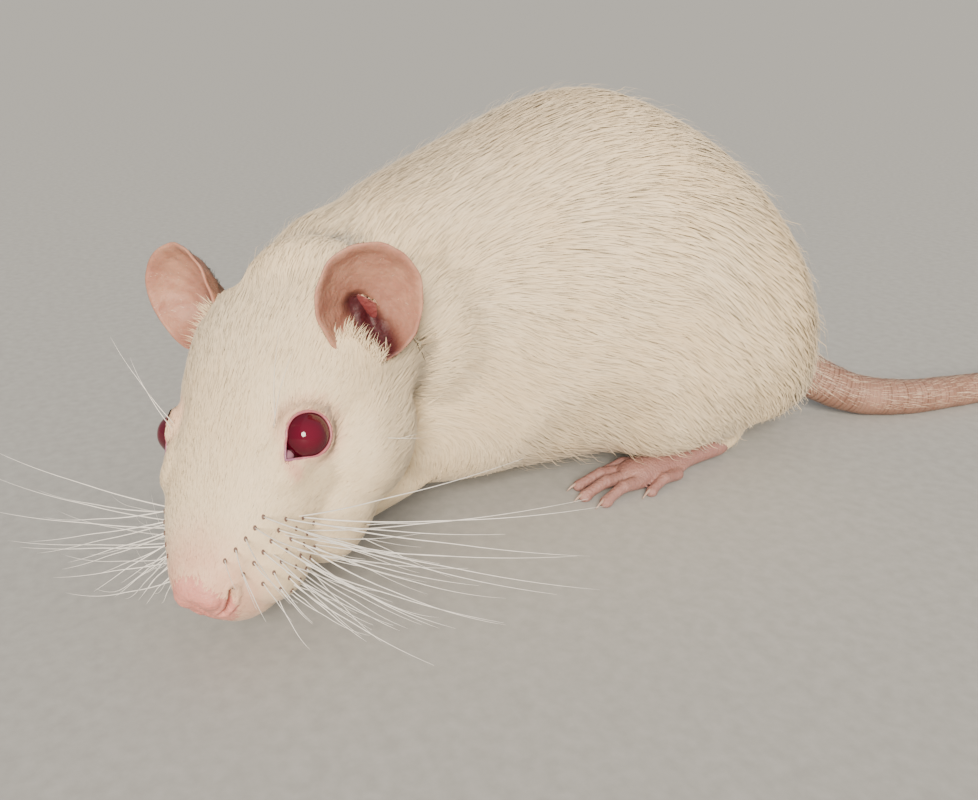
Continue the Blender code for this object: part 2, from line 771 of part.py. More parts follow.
def make_nodes():
    """Every node of the animal, as pairs of an object and its finish."""
    head = head_frame()
    body = make_body(head)
    pieces = []
    for name in SIDES:
        y, z = SHANKS[name][-2][1:3]
        haunch = prism([(18, 32, 29, 27), (y, z - 2, 8.5, 8.5)], *HAUNCH_SPANS[name])
        leg = part_off(body, f"hind_leg_{name}", haunch)
        combine(leg, joint_plane(HIND_FEET[name][0], ANKLE, 1), "DIFFERENCE")
        pieces.append((leg, FUR))
        pieces.append((make_hind_foot(name), SKIN))
        y, z = FOREARMS[name][-1][1:3]
        arm = prism([(-31, 22, 10, 12), (y, z, 6.2, 6.2)], *ARM_SPANS[name])
        foreleg = part_off(body, f"foreleg_{name}", arm)
        combine(foreleg, joint_plane(FOREFEET[name][0], WRIST, 1), "DIFFERENCE")
        pieces.append((foreleg, FUR))
        pieces.append((make_forefoot(name), SKIN))
    forward = head.to_3x3() @ Vector((1, 0, 0))
    _, root, along = tail_start()
    combine(body, half_space(root, along)(GAP / 2), "DIFFERENCE")
    skull = part_off(body, "head", half_space(head @ Vector((-HEAD_CUT, 0, 0)), forward))
    neck = part_off(body, "neck", half_space(Vector((8, -43, 36)) * MM, (0.35, -0.93, -0.1)))
    chest = part_off(body, "chest", half_space(Vector((0, -6, 36)) * MM, (0, -1, 0)))
    body.name = "abdomen"
    nose = part_off(skull, "nose", half_space(head @ Vector((-NOSE_CUT, 0, 0)), forward))
    cut_nostrils(nose, head)
    jaw = part_off(skull, "jaw", hull(head, [((-17.0, 0, -14.6), (11.8, 8.4, 5.6))], 8), MOUTH_GAP)
    for name in SIDES:
        pieces.append((make_whisker_pad(skull, head, name), FUR))
        open_eye(skull, head, SIDES[name])
        pieces.append((make_eye(head, name), EYE))
        pieces.append((make_ear(head, name, skull, neck), SKIN))
        open_ear(skull, head, name)
    pieces += [(skull, FUR), (neck, FUR), (chest, FUR), (body, FUR), (nose, SKIN), (jaw, FUR)]
    pieces += [(length, SKIN) for length in make_tail()]
    return pieces


def stand_at_origin(things):
    """Shifts the animal so that the middle of its box's underside is at the origin."""
    places = np.array([vert.co[:] for thing in things for vert in thing.data.vertices])
    low = places.min(axis=0)
    high = places.max(axis=0)
    shift = Vector((-(low[0] + high[0]) / 2, -(low[1] + high[1]) / 2, -low[2]))
    for thing in things:
        thing.data.transform(Matrix.Translation(shift))


def make_material(name, colour, roughness):
    """A plain finish."""
    material = bpy.data.materials.new(name)
    material.use_nodes = True
    shader = material.node_tree.nodes["Principled BSDF"]
    shader.inputs["Base Color"].default_value = (*colour, 1)
    shader.inputs["Roughness"].default_value = roughness
    shader.inputs["Metallic"].default_value = 0
    return material


def main():
    """Builds the animal in an empty scene."""
    for thing in list(bpy.data.objects):
        bpy.data.objects.remove(thing)
    pieces = make_nodes()
    stand_at_origin([thing for thing, _ in pieces])
    model = bpy.data.collections.new("pet_rat")
    bpy.context.scene.collection.children.link(model)
    finishes = {}
    for thing, finish in pieces:
        if finish[0] not in finishes:
            finishes[finish[0]] = make_material(*finish)
        thing.data.materials.clear()
        thing.data.materials.append(finishes[finish[0]])
        thing.data.shade_smooth()
        thing.data.set_sharp_from_angle(angle=math.radians(40))
        bpy.context.scene.collection.objects.unlink(thing)
        model.objects.link(thing)


main()
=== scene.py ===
"""A white pet rat with ruby eyes, crouching with its head turned to its left, with its floor, light and view.

Shapes are made in the animal's own coordinates, in metres with +Z up and the head towards -Y, and are then
shifted onto the model. Rows of numbers are in millimetres.
"""

import math
import random

import bmesh
import bpy
import numpy as np
from mathutils import Matrix, Vector, noise
from mathutils.bvhtree import BVHTree


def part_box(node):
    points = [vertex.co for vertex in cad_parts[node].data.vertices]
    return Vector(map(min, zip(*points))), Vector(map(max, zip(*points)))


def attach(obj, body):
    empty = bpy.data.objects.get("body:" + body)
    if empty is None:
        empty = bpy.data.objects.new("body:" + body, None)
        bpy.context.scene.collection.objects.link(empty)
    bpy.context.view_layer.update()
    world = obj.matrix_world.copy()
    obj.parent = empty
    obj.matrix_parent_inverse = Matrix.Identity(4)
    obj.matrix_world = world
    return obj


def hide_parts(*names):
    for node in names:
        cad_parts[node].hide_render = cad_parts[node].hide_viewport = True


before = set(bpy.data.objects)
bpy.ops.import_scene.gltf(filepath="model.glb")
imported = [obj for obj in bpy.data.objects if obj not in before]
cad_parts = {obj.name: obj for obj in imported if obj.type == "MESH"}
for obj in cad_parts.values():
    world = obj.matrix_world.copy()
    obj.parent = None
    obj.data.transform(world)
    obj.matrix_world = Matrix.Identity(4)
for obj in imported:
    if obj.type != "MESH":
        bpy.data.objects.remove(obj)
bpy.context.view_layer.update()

MM = 0.001
UP = Vector((0, 0, 1))
LEFT = 1
RIGHT = -1
SIDES = {"left": LEFT, "right": RIGHT}

BACK_HEIGHT = 78 * MM
TRUNK_HALF_WIDTH = 38 * MM
EYE_BALL = 3.85
EAR_LENGTH = 18.5
EAR_WIDTH = 16.0
EAR_DEPTH = 5.0
CLAW_LENGTH = 2.6
TAIL_ROOT_RADIUS = 6.3
TAIL_RADIUS = 4.9
TAIL_TIP_RADIUS = 1.3
FLOOR_CLEARANCE = 5 * MM

HEAD_TURN = math.radians(48)
HEAD_NOD = math.radians(36)
HEAD_ROLL = math.radians(13)
NOSE_TIP = Vector((51.8, -84.4, 12.6)) * MM

# The trunk from the rump to the shoulders: place along Y and across X, then the half width as a share of the
# trunk's, and as shares of the back's height the middle's height, the rise to the back, the drop to the belly.
TRUNK_ROWS = [
    (60.5, 4.0, 0.18, 0.150, 0.080, 0.080),
    (57.5, 3.5, 0.38, 0.235, 0.175, 0.180),
    (51.5, 2.5, 0.62, 0.320, 0.260, 0.255),
    (42, 0.5, 0.84, 0.400, 0.355, 0.350),
    (29, -2.0, 0.96, 0.460, 0.440, 0.415),
    (12, -4.0, 1.00, 0.500, 0.495, 0.460),
    (-3, -4.0, 0.96, 0.490, 0.485, 0.460),
    (-20, -2.0, 0.88, 0.460, 0.435, 0.430),
    (-34, 2.0, 0.78, 0.435, 0.400, 0.380),
    (-44, 6.0, 0.66, 0.420, 0.375, 0.320),
]

# The head from the nose's tip back, in its own frame: distance back, half width, rise, drop.
HEAD_ROWS = [
    (0.0, 2.3, 2.2, 4.4),
    (1.1, 3.9, 3.3, 8.0),
    (3.7, 6.1, 4.4, 11.6),
    (8.4, 9.2, 6.0, 13.8),
    (14.0, 11.6, 8.2, 14.3),
    (20.5, 13.6, 10.4, 15.0),
    (28.0, 15.4, 12.2, 16.2),
    (35.3, 17.8, 13.5, 17.0),
    (42.8, 19.6, 14.2, 17.4),
    (50.2, 20.0, 14.0, 17.0),
]

# Places on the head's left side, in the head's frame: X forward of the nose's tip, Y to the left, Z up.
EYE_CENTRE = (-26.1, 12.1, 5.1)
EYE_GAZE = (0.25, 0.80, 0.54)
EYE_CORNER = (0.915, -0.272, 0.14)

# The lids' opening round the gaze's axis, its point at the front corner and how low its edge comes there, the
# skin's gap over the eyeball, and the flesh in the corner.
LID_REACH = 3.44
LID_POINT = 0.86
LID_LOWEST = 1.85
LID_GAP = 0.24
CORNER_PLACE = (4.25, 0.0, 0.95)
CORNER_RADII = (1.15, 0.86, 0.7)
CORNER_SINK = 1.6

# Each ear's root, the way to its tip and the way that its cup faces.
EARS = {
    "left": ((-42.2, 18.0, 2.6), (-0.59, 0.04, 0.81), (0.72, 0.62, 0.31)),
    "right": ((-45.0, 17.0, 4.0), (-0.54, 0.33, 0.78), (0.79, 0.0, 0.61)),
}
NOSTRIL = [(-0.7, 2.5, -3.0), (-1.4, 3.7, -2.3), (-2.2, 4.7, -1.2), (-3.0, 5.2, 0.0)]
JAW_CENTRE = (-17.0, 0.0, -14.6)
JAW_RADII = (11.8, 8.4, 5.6)
JAW_SIZE = 6.5
NOSE_MIDDLE = (-0.3, 0, -1.2)
NOSE_RADII = (9.0, 7.2, 8.6)
HEAD_SPLIT = -53.0
HEAD_OVERLAP = 1.5

# The fold below an eye's front corner, drawn as a line of painted shade: its top, and how far it has gone ahead
# and down at each step.
FOLD_TOP = (-20.9, 11.7, 6.6)
FOLD_STEPS = ((0, 0), (0.9, 0.9), (1.9, 2.1))

# The left ear's canal, in the ear's frame, from its low end to its high one, and how much wider than the canal
# are its painted shade in the ear, its hollow and its painted shade in the skin, and the fainter ring of
# painted shade round it.
EAR_CANAL = ((-3.0, 1.5, 0.0), (-4.5, -1.9, 7.4))
CANAL_EAR_SHADE = 1.4
CANAL_HOLLOW = 1.5
CANAL_SHADE = 2.0
CANAL_SHADE_RING = 3.4

# How far the skin sinks under an ear's cup and deeper at its canal, and the most of the flesh that it may take.
CUP_CLEARANCE = 0.6
CANAL_DEPTH = 1.4
SINK_SHARE = 0.7

# The left lip and the right side of the neck, in the head's frame, and then the legs: x, y, z and radius.
LIP_ROWS = [(-4.5, 1.6, -8.6, 1.3), (-8.5, 5.2, -9.8, 1.6), (-13.5, 8.4, -9.6, 1.5), (-18, 10.6, -9.4, 1.0)]
NECK_ROWS = [(-50, -10, -4, 9.5), (-57, -9, -7, 12), (-64, -8, -12, 13)]
SHANKS = {
    "left": [(19, 24, 20, 8), (20, 31, 13, 5.6), (19.4, 33.5, 8.5, 4.4), (19, 32.5, 5.5, 4.0)],
    "right": [(-27, 22, 20, 8), (-28.5, 29, 13, 5.6), (-28.4, 31.5, 8.5, 4.4), (-28, 30.5, 5.5, 4.0)],
}
FOREARMS = {
    "left": [
        (20, -30, 22, 9),
        (21, -39, 15, 6.0),
        (21, -49, 8.5, 4.2),
        (21, -55.5, 5.5, 3.4),
        (21, -58.5, 4, 3.1),
    ],
    "right": [
        (-16, -30, 22, 9),
        (-16, -36, 15, 6.0),
        (-14, -45, 8.5, 4.2),
        (-12, -51, 5.5, 3.4),
        (-11, -54, 4, 3.1),
    ],
}

# The height at which a foot's own piece ends inside its leg, and the heel and toes of each foot along X and Y.
FOOT_TOP = 11 * MM
HIND_FEET = {"left": ((18.4, 34.0), (25.8, -8.5)), "right": ((-27.6, 32.0), (-34.5, -10.0))}
FOREFEET = {"left": ((21.0, -56.5), (23.5, -73.5)), "right": ((-11.0, -52.0), (-7.0, -69.0))}

# The tail from its root: across X, along Y, and how high its underside is.
TAIL_ROWS = [
    (2.0, 51, 10.0),
    (4.8, 61, 7.4),
    (11.5, 75, 1.4),
    (15.8, 88, 0.0),
    (17.3, 101, 0.0),
    (18.0, 115, 0.0),
    (18.0, 138, 0.0),
    (16.0, 164, 0.0),
    (12.0, 191, 0.0),
    (7.5, 218, 0.0),
    (4.0, 246, 0.0),
]

# How fine the surfaces are.
TRUNK_VOXEL = 1.6 * MM
BODY_VOXEL = 1.3 * MM
HEAD_VOXEL = 0.5 * MM
FOOT_VOXEL = 0.32 * MM
EAR_TURNS = 88
EAR_STEPS = 26
TAIL_TURNS = 22
TAIL_STEPS = 640
LID_STEPS = 96
LID_TURNS = 10

# The lowest height of the skin, of the coat, of a claw's middle, and of the feet and the tail.
SKIN_FLOOR = 0.4 * MM
COAT_FLOOR = 0.3 * MM
CLAW_FLOOR = 0.22
FOOT_FLOOR = 0.05 * MM

# The nodes whose flesh one skin takes over.
FLESH = ["abdomen", "chest", "neck", "head", "jaw", "nose", "whisker_pad_left", "whisker_pad_right"]
FLESH += ["foreleg_left", "foreleg_right", "hind_leg_left", "hind_leg_right"]

# The coat. Guides give, at a place, the way the hair lies, its length and its lift off the skin in degrees.
# Those of the head are in the head's frame and serve both sides.
HEAD_GUIDES = [
    ((-3.5, 0, 4), (-1, 0, 0.35), 0.9, 16),
    ((-4.5, 6, -2), (-0.75, 0.6, 0.05), 0.9, 16),
    ((-10, 0, 7), (-1, 0, 0.25), 1.3, 14),
    ((-8, 7, 2), (-0.9, 0.35, 0.2), 1.2, 14),
    ((-12, 10.5, -5), (-0.9, 0.38, -0.12), 1.7, 16),
    ((-7, 6, -10), (-0.7, 0.35, -0.45), 1.2, 18),
    ((-14, 10, -11), (-0.85, 0.25, -0.4), 1.7, 20),
    ((-9, 0, -14), (-0.95, 0, -0.3), 1.4, 20),
    ((-18, 0, -16), (-1, 0, -0.1), 2.2, 18),
    ((-24, 10, -13), (-0.92, 0.2, -0.3), 3.4, 30),
    ((-38, 6, -17), (-1, 0, -0.1), 5.0, 16),
    ((-20, 0, 10.5), (-1, 0, 0.15), 2.0, 12),
    ((-32, 0, 13), (-1, 0, 0.05), 2.8, 12),
    ((-44, 0, 14.5), (-1, 0, 0), 3.8, 12),
    ((-18, 11, 1), (-0.95, 0.25, 0.02), 1.7, 13),
    ((-22, 12, 8), (-0.95, 0.1, 0.3), 1.5, 12),
    ((-22, 14, 0), (-0.9, 0.3, -0.3), 1.6, 13),
    ((-27, 9, 11), (-1, 0, 0.15), 1.8, 12),
    ((-27, 15, -2), (-0.95, 0.2, -0.25), 2.2, 13),
    ((-32, 15, 4), (-1, 0.2, 0), 2.2, 13),
    ((-38, 10, 12), (-1, 0.05, 0), 3.2, 12),
    ((-38, 16, 4), (-0.75, 0.3, 0.55), 2.6, 22),
    ((-35, 18, -7), (-0.95, 0.2, -0.25), 4.6, 30),
    ((-44, 19, -4), (-0.9, 0.1, -0.4), 5.2, 18),
    ((-52, 10, 12), (-1, 0, 0), 4.8, 13),
]
BODY_GUIDES = [
    ((4, -48, 54), (-0.3, 0.85, 0.4), 5.5, 13),
    ((-20, -50, 40), (-0.3, 0.9, 0.0), 6.0, 13),
    ((0, -35, 62), (-0.1, 0.95, 0.3), 6.5, 13),
    ((-4, -10, 75), (0, 1, 0.1), 7.5, 13),
    ((-4, 14, 78), (0, 1, 0), 8.0, 13),
    ((0, 38, 62), (0, 0.8, -0.6), 8.5, 14),
    ((3, 55, 38), (0, 0.5, -0.85), 8.5, 26),
    ((3, 61, 20), (0, 0.5, -0.8), 8.0, 34),
    ((34, -4, 40), (0, 0.97, -0.25), 7.5, 13),
    ((-42, -4, 40), (0, 0.97, -0.25), 7.5, 13),
    ((30, -8, 12), (0.2, 0.8, -0.55), 8.0, 34),
    ((-38, -8, 12), (-0.2, 0.8, -0.55), 8.0, 34),
    ((33, 20, 36), (0, 0.8, -0.6), 7.5, 13),
    ((-41, 20, 36), (0, 0.8, -0.6), 7.5, 13),
    ((29, 26, 10), (0.1, 0.7, -0.7), 6.5, 28),
    ((-36, 26, 10), (-0.1, 0.7, -0.7), 6.5, 28),
    ((20, 46, 22), (0.1, 0.7, -0.7), 8.0, 32),
    ((-20, 46, 22), (-0.1, 0.7, -0.7), 8.0, 32),
    ((20, 33, 9), (0, 0.2, -0.95), 2.2, 12),
    ((-28, 31, 9), (0, 0.2, -0.95), 2.2, 12),
    ((30, -30, 30), (0, 0.8, -0.55), 6.0, 14),
    ((-32, -30, 30), (0, 0.8, -0.55), 6.0, 14),
    ((26, -36, 14), (0, 0.0, -1), 4.2, 15),
    ((-22, -36, 14), (0, 0.0, -1), 4.2, 15),
    ((22, -46, 9), (0.1, -0.75, -0.6), 2.2, 12),
    ((-14, -45, 9), (0.1, -0.75, -0.6), 2.2, 12),
    ((22.5, -52, 6), (0.1, -0.85, -0.4), 1.4, 12),
    ((-12, -51, 6), (0.1, -0.85, -0.4), 1.4, 12),
    ((8, -55, 22), (-0.2, 0.5, -0.8), 5.5, 16),
    ((0, -30, 4), (0, 1, 0), 6.5, 14),
    ((0, 0, 2.5), (0, 1, 0), 7.0, 14),
    ((0, 35, 3), (0, 1, 0.1), 7.0, 14),
    ((4, 63, 13), (0.25, 0.9, -0.35), 4.0, 20),
]
COAT_COVER = 5.05
COAT_LIFT = 0.31
COAT_DEPTH = 0.5
CHUNK_TUFTS = 20000
GUIDE_BATCH = 20000
EAR_DOWN_HAIRS = 2600
EAR_TUFT_HAIRS = 130
TAIL_HAIRS = 3800

STRAY_SHARE = 0.06
TAIL_BARE = 68
TUFT_WIDTH = 0.115
TUFT_WIDENING = 0.026

# How high a tuft's blade is arched, as a share of its half width, and the unwrap's share that a tuft takes.
BLADE_RISE = 0.35
PATCH = 0.003

# Seeds of the random draws.
COAT_SEED = 17
EAR_SEED = 41
TAIL_SEED = 31
WHISKER_SEED = 5
LONG_WHISKER_SEEDS = {LEFT: 7, RIGHT: 11}

WHISKER_STEPS = 16
CHIN_WHISKERS = 14

# Rows of whiskers from the top one down: height, the foremost one's place along the head, and how many.
FOLLICLE_ROWS = [(3.6, -5.9, 5), (0.8, -5.3, 6), (-1.9, -5.2, 7), (-4.6, -5.7, 7), (-7.2, -6.6, 5)]

CAMERA_PLACE = Vector((181.6, -95.6, 94.6)) * MM
CAMERA_AZIMUTH = math.radians(66)
CAMERA_PITCH = math.radians(22)
CAMERA_SENSOR = 36
CAMERA_FOCAL = 1000 / 978 * CAMERA_SENSOR
FLOOR_SIZE = 40.0


def frame_of(x_axis, y_axis, z_axis, origin):
    """A matrix with these axes and this origin."""
    turn = Matrix((x_axis, y_axis, z_axis)).transposed()
    return Matrix.Translation(origin) @ turn.to_4x4()


def axis_frame(point, along, guide=UP):
    """A frame at a point with X along a direction and Z as near to the guide as it can be."""
    forward = Vector(along).normalized()
    if abs(forward.dot(guide)) > 0.95:
        guide = Vector((0, 1, 0))
    left = guide.cross(forward).normalized()
    return frame_of(forward, left, forward.cross(left), point)


def into(place, points):
    """Points of the animal in another frame, in millimetres."""
    return (points - np.array(place.translation)) @ np.array(place.to_3x3()) / MM


def out_of(place, points):
    """Points of a frame in millimetres, as places of the animal."""
    return points * MM @ np.array(place.to_3x3()).T + np.array(place.translation)


def head_frame():
    """The head's own frame, with its origin at the nose's tip."""
    level = Vector((math.sin(HEAD_TURN), -math.cos(HEAD_TURN), 0))
    forward = level * math.cos(HEAD_NOD) - UP * math.sin(HEAD_NOD)
    return axis_frame(NOSE_TIP, forward) @ Matrix.Rotation(HEAD_ROLL, 4, "X")


HEAD = head_frame()
low, high = (Vector(corner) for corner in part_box("eye_left"))
SHIFT = (low + high) / 2 - HEAD @ (Vector(EYE_CENTRE) * MM)


def sided(values, side):
    """A place or direction of the left side, mirrored for the right one."""
    return Vector((values[0], values[1] * side, values[2]))


def to_head(points):
    """Points of the animal in the head's frame, in millimetres."""
    return into(HEAD, points)


def smooth_step(low, high, values):
    """A smooth rise from 0 at one value to 1 at another."""
    t = np.clip((values - low) / (high - low), 0, 1)
    return t * t * (3 - 2 * t)


def fade(low, high, values):
    """A smooth fall from 1 at one value to 0 at another."""
    return 1 - smooth_step(low, high, values)


def bell(values, middle, width):
    """A soft bump that is 1 at its middle."""
    return np.exp(-(((values - middle) / width) ** 2))


def unit(vectors):
    """Vectors of length one."""
    return vectors / np.maximum(np.linalg.norm(vectors, axis=-1, keepdims=True), 1e-12)


def smooth_rows(rows, steps):
    """Rows read from one smooth curve through the given rows, with some steps to each span."""
    rows = np.array(rows, float)
    padded = np.vstack([2 * rows[0] - rows[1], rows, 2 * rows[-1] - rows[-2]])
    found = []
    for before, start, end, after in zip(padded, padded[1:], padded[2:], padded[3:]):
        for step in range(steps):
            t = step / steps
            bend = 2 * before - 5 * start + 4 * end - after
            twist = 3 * start - before - 3 * end + after
            found.append(start + 0.5 * t * ((end - before) + t * (bend + t * twist)))
    found.append(rows[-1])
    return np.array(found)


def section(place, half_width, rise, drop, count, upper=2.0, lower=2.0):
    """A cross-section in a frame's YZ plane: half a superellipse above the centre and half below it."""
    points = []
    for i in range(count):
        angle = 2 * math.pi * i / count
        reach, power = (rise, upper) if math.sin(angle) > 0 else (drop, lower)
        across = math.copysign(abs(math.cos(angle)) ** (2 / power), math.cos(angle))
        height = math.copysign(abs(math.sin(angle)) ** (2 / power), math.sin(angle))
        points.append(place @ Vector((0, across * half_width, height * reach)))
    return points


def bridge(bm, rows):
    """Joins rows of points that run round a form with faces between neighbours."""
    for row, following in zip(rows, rows[1:]):
        for i in range(len(row)):
            j = (i + 1) % len(row)
            bm.faces.new((row[i], row[j], following[j], following[i]))


def add_loft(bm, rings):
    """Adds a closed skin over rings of equal length, with a fan over each end."""
    rows = [[bm.verts.new(point) for point in ring] for ring in rings]
    count = len(rows[0])
    bridge(bm, rows)
    for row in (rows[0], rows[-1]):
        middle = bm.verts.new(sum((vert.co for vert in row), Vector()) / count)
        for i in range(count):
            bm.faces.new((row[i], row[(i + 1) % count], middle))


def add_limb(bm, rows, place=Matrix(), steps=4, count=20, flatness=1.0):
    """Adds a tapering limb with round ends along rows of x, y, z and radius in a frame."""
    rows = smooth_rows(rows, steps) * MM
    points = [place @ Vector(row[:3]) for row in rows]
    rings = []
    for i, radius in enumerate(rows[:, 3]):
        along = points[min(i + 1, len(points) - 1)] - points[max(i - 1, 0)]
        local = axis_frame(points[i], along)
        stops = [0]
        if i == 0:
            stops = [-80, -50, -25, 0]
        if i == len(points) - 1:
            stops = [0, 25, 50, 80]
        for stop in stops:
            angle = math.radians(stop)
            shifted = local @ Matrix.Translation((radius * math.sin(angle), 0, 0))
            wide = radius * math.cos(angle)
            rings.append(section(shifted, wide, wide * flatness, wide * flatness, count))
    add_loft(bm, rings)


def add_ball(bm, place, centre, radii, rings=18):
    """Adds an ellipsoid, with its centre and radii in millimetres in a frame."""
    shape = Matrix.Diagonal((*[radius * MM for radius in radii], 1))
    placed = place @ Matrix.Translation(Vector(centre) * MM) @ shape
    bmesh.ops.create_uvsphere(bm, u_segments=rings * 2 - 4, v_segments=rings, radius=1, matrix=placed)


def add_object(name, data):
    """An object of the scene with this mesh, light or camera."""
    made = bpy.data.objects.new(name, data)
    bpy.context.scene.collection.objects.link(made)
    return made


def make_object(name, fill):
    """An object whose mesh a function fills, with its faces pointing out."""
    bm = bmesh.new()
    fill(bm)
    bmesh.ops.recalc_face_normals(bm, faces=bm.faces)
    mesh = bpy.data.meshes.new(name)
    bm.to_mesh(mesh)
    bm.free()
    return add_object(name, mesh)


def drop(thing):
    """Removes an object and its mesh."""
    mesh = thing.data
    bpy.data.objects.remove(thing)
    bpy.data.meshes.remove(mesh)


def settle(thing):
    """Turns an object's modifiers into its mesh."""
    graph = bpy.context.evaluated_depsgraph_get()
    mesh = bpy.data.meshes.new_from_object(thing.evaluated_get(graph))
    thing.modifiers.clear()
    former = thing.data
    thing.data = mesh
    bpy.data.meshes.remove(former)


def blend(name, fill, voxel, rounds):
    """Fuses overlapping closed shapes into one soft form."""
    thing = make_object(name, fill)
    fuse = thing.modifiers.new("fuse", "REMESH")
    fuse.mode = "VOXEL"
    fuse.voxel_size = voxel
    soften = thing.modifiers.new("soften", "SMOOTH")
    soften.factor = 0.5
    soften.iterations = rounds
    settle(thing)
    return thing


def points_of(mesh, what="co"):
    """A mesh's points as an array."""
    found = np.empty(len(mesh.vertices) * 3)
    mesh.vertices.foreach_get(what, found)
    return found.reshape(-1, 3)


def normals_of(mesh):
    """A mesh's point normals as an array."""
    return points_of(mesh, "normal")


def search_tree(mesh):
    """A tree in which the nearest place of a mesh is found, or the one that a line meets."""
    return BVHTree.FromPolygons([v.co for v in mesh.vertices], [p.vertices for p in mesh.polygons])


def trim(mesh, beyond):
    """Takes away those points of a mesh that are marked as lying beyond a limit."""
    bm = bmesh.new()
    bm.from_mesh(mesh)
    bmesh.ops.delete(bm, geom=[vert for vert, out in zip(bm.verts, beyond) if out], context="VERTS")
    bm.to_mesh(mesh)
    bm.free()


def set_points(mesh, points):
    """Moves a mesh's points."""
    mesh.vertices.foreach_set("co", np.ascontiguousarray(points, dtype=np.float32).ravel())
    mesh.update()


def set_value(mesh, name, values):
    """Stores one number for each point under a name."""
    stored = mesh.attributes.new(name, "FLOAT", "POINT")
    stored.data.foreach_set("value", np.ascontiguousarray(values, dtype=np.float32))


def grid_quads(rows, turns):
    """The corners of the faces between rows of points that run round a form."""
    starts = np.arange(rows - 1)[:, None] * turns
    here = np.arange(turns)[None]
    following = (here + 1) % turns
    corners = [starts + here, starts + following, starts + turns + following, starts + turns + here]
    return np.stack(corners, axis=-1).reshape(-1, 4)


def array_mesh(name, points, faces):
    """A mesh of triangles from arrays."""
    mesh = bpy.data.meshes.new(name)
    mesh.vertices.add(len(points))
    mesh.vertices.foreach_set("co", np.ascontiguousarray(points, dtype=np.float32).ravel())
    mesh.loops.add(len(faces) * 3)
    mesh.loops.foreach_set("vertex_index", np.ascontiguousarray(faces, dtype=np.int32).ravel())
    mesh.polygons.add(len(faces))
    mesh.polygons.foreach_set("loop_start", np.arange(0, len(faces) * 3, 3, dtype=np.int32))
    mesh.update(calc_edges=True)
    mesh.validate()
    return mesh


def keep_piece(thing, material, slot, *nodes):
    """Finishes a piece: shifts it onto the model, gives it its material, smooths its shading, hangs it under
    the root and hides the model's parts that it stands for.
    """
    thing.data.transform(Matrix.Translation(SHIFT))
    thing.data.materials.clear()
    thing.data.materials.append(material)
    thing.data.shade_smooth()
    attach(thing, "root")
    if nodes:
        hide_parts(*nodes)


def rumple(points, scale, seed=0.0):
    """Smooth noise between -1 and 1 at places, with a scale in millimetres."""
    scaled = points / (scale * MM) + seed
    return np.array([noise.noise(Vector(point)) for point in scaled])


# Shapes


def fill_trunk(bm):
    """The trunk's loft, the haunches and the shoulders."""
    rings = []
    for y, x, wide, middle, rise, fall in smooth_rows(TRUNK_ROWS, 4):
        centre = Vector((x * MM, y * MM, middle * BACK_HEIGHT))
        place = axis_frame(centre, (0, -1, 0))
        sizes = (wide * TRUNK_HALF_WIDTH, rise * BACK_HEIGHT, fall * BACK_HEIGHT)
        rings.append(section(place, *sizes, 48, 2.1, 2.7))
    add_loft(bm, rings)
    for side in (LEFT, RIGHT):
        add_ball(bm, Matrix(), (24.5 * side - 4, 18, 31), (14, 28, 27))
        add_ball(bm, Matrix(), (17 * side + 1, -30, 30), (13, 17, 22))
    add_ball(bm, Matrix(), (6.5, -46.5, 36.5), (22, 18.5, 23.5))


def fill_head(bm):
    """The head's loft with its cheeks, brows, whisker pads, lips, chin and nose."""
    rings = []
    for back, wide, rise, fall in smooth_rows(HEAD_ROWS, 3):
        place = HEAD @ Matrix.Translation((-back * MM, 0, 0))
        rings.append(section(place, wide * MM, rise * MM, fall * MM, 48, 2.2, 2.3))
    add_loft(bm, rings)
    for side in (LEFT, RIGHT):
        add_ball(bm, HEAD, sided((-34, 12.0, -7), side), (12.5, 8.7, 11))
        add_ball(bm, HEAD, sided((-23.5, 9.8, -9.6), side), (11, 6.6, 7.6))
        add_ball(bm, HEAD, sided((-11.5, 6.4, -4.4), side), (8, 5.4, 7))
        add_ball(bm, HEAD, sided((-22, 9.0, 4), side), (7, 5, 5))
        add_ball(bm, HEAD, sided(EYE_CENTRE, side), (5.4, 4.3, 4.8))
        add_ball(bm, HEAD, sided((-1.9, 2.3, 0.1), side), (2.4, 2.1, 2.2))
        add_limb(bm, [(x, y * side, z, r) for x, y, z, r in LIP_ROWS], HEAD)
    add_ball(bm, HEAD, (-12.5, 0, -11.0), (7.5, 4.6, 3.6))
    add_ball(bm, HEAD, (-53, 1, 2), (12, 13, 13.6))
    add_ball(bm, Matrix(), (24.5, -40, 39), (9.5, 12, 14))
    add_limb(bm, NECK_ROWS, HEAD)


def eye_frame(side):
    """A frame at an eye's centre with X towards its front corner and Z along the gaze."""
    centre = HEAD @ (sided(EYE_CENTRE, side) * MM)
    turn = HEAD.to_3x3()
    gaze = (turn @ sided(EYE_GAZE, side)).normalized()
    corner = turn @ sided(EYE_CORNER, side)
    forward = (corner - gaze * corner.dot(gaze)).normalized()
    return frame_of(forward, gaze.cross(forward), gaze, centre)


def lid_reach(angle):
    """How far the lids' edge lies from the gaze's axis, in millimetres, at an angle from the front corner."""
    turned = (angle + math.pi) % (2 * math.pi) - math.pi
    corner = LID_REACH / np.cos(np.maximum(0, LID_POINT - np.hypot(turned, 0.03)))
    return corner + 0.12 * bell(np.abs(turned), 3.14, 0.6)


def lid_rise(reach):
    """How high above the eye's centre the lids' edge stands, along the gaze."""
    ball = EYE_BALL + 0.1
    on_ball = np.sqrt(np.maximum(ball ** 2 - reach ** 2, 0.2))
    return np.maximum(on_ball + 0.55 * smooth_step(3.0, 4.2, reach), LID_LOWEST)


def past_lid(local):
    """How far each place lies outside the lids' edge, and how far from the gaze's axis, in an eye's frame."""
    reach = np.hypot(local[:, 0], local[:, 1])
    return reach - lid_reach(np.arctan2(local[:, 1], local[:, 0])), reach


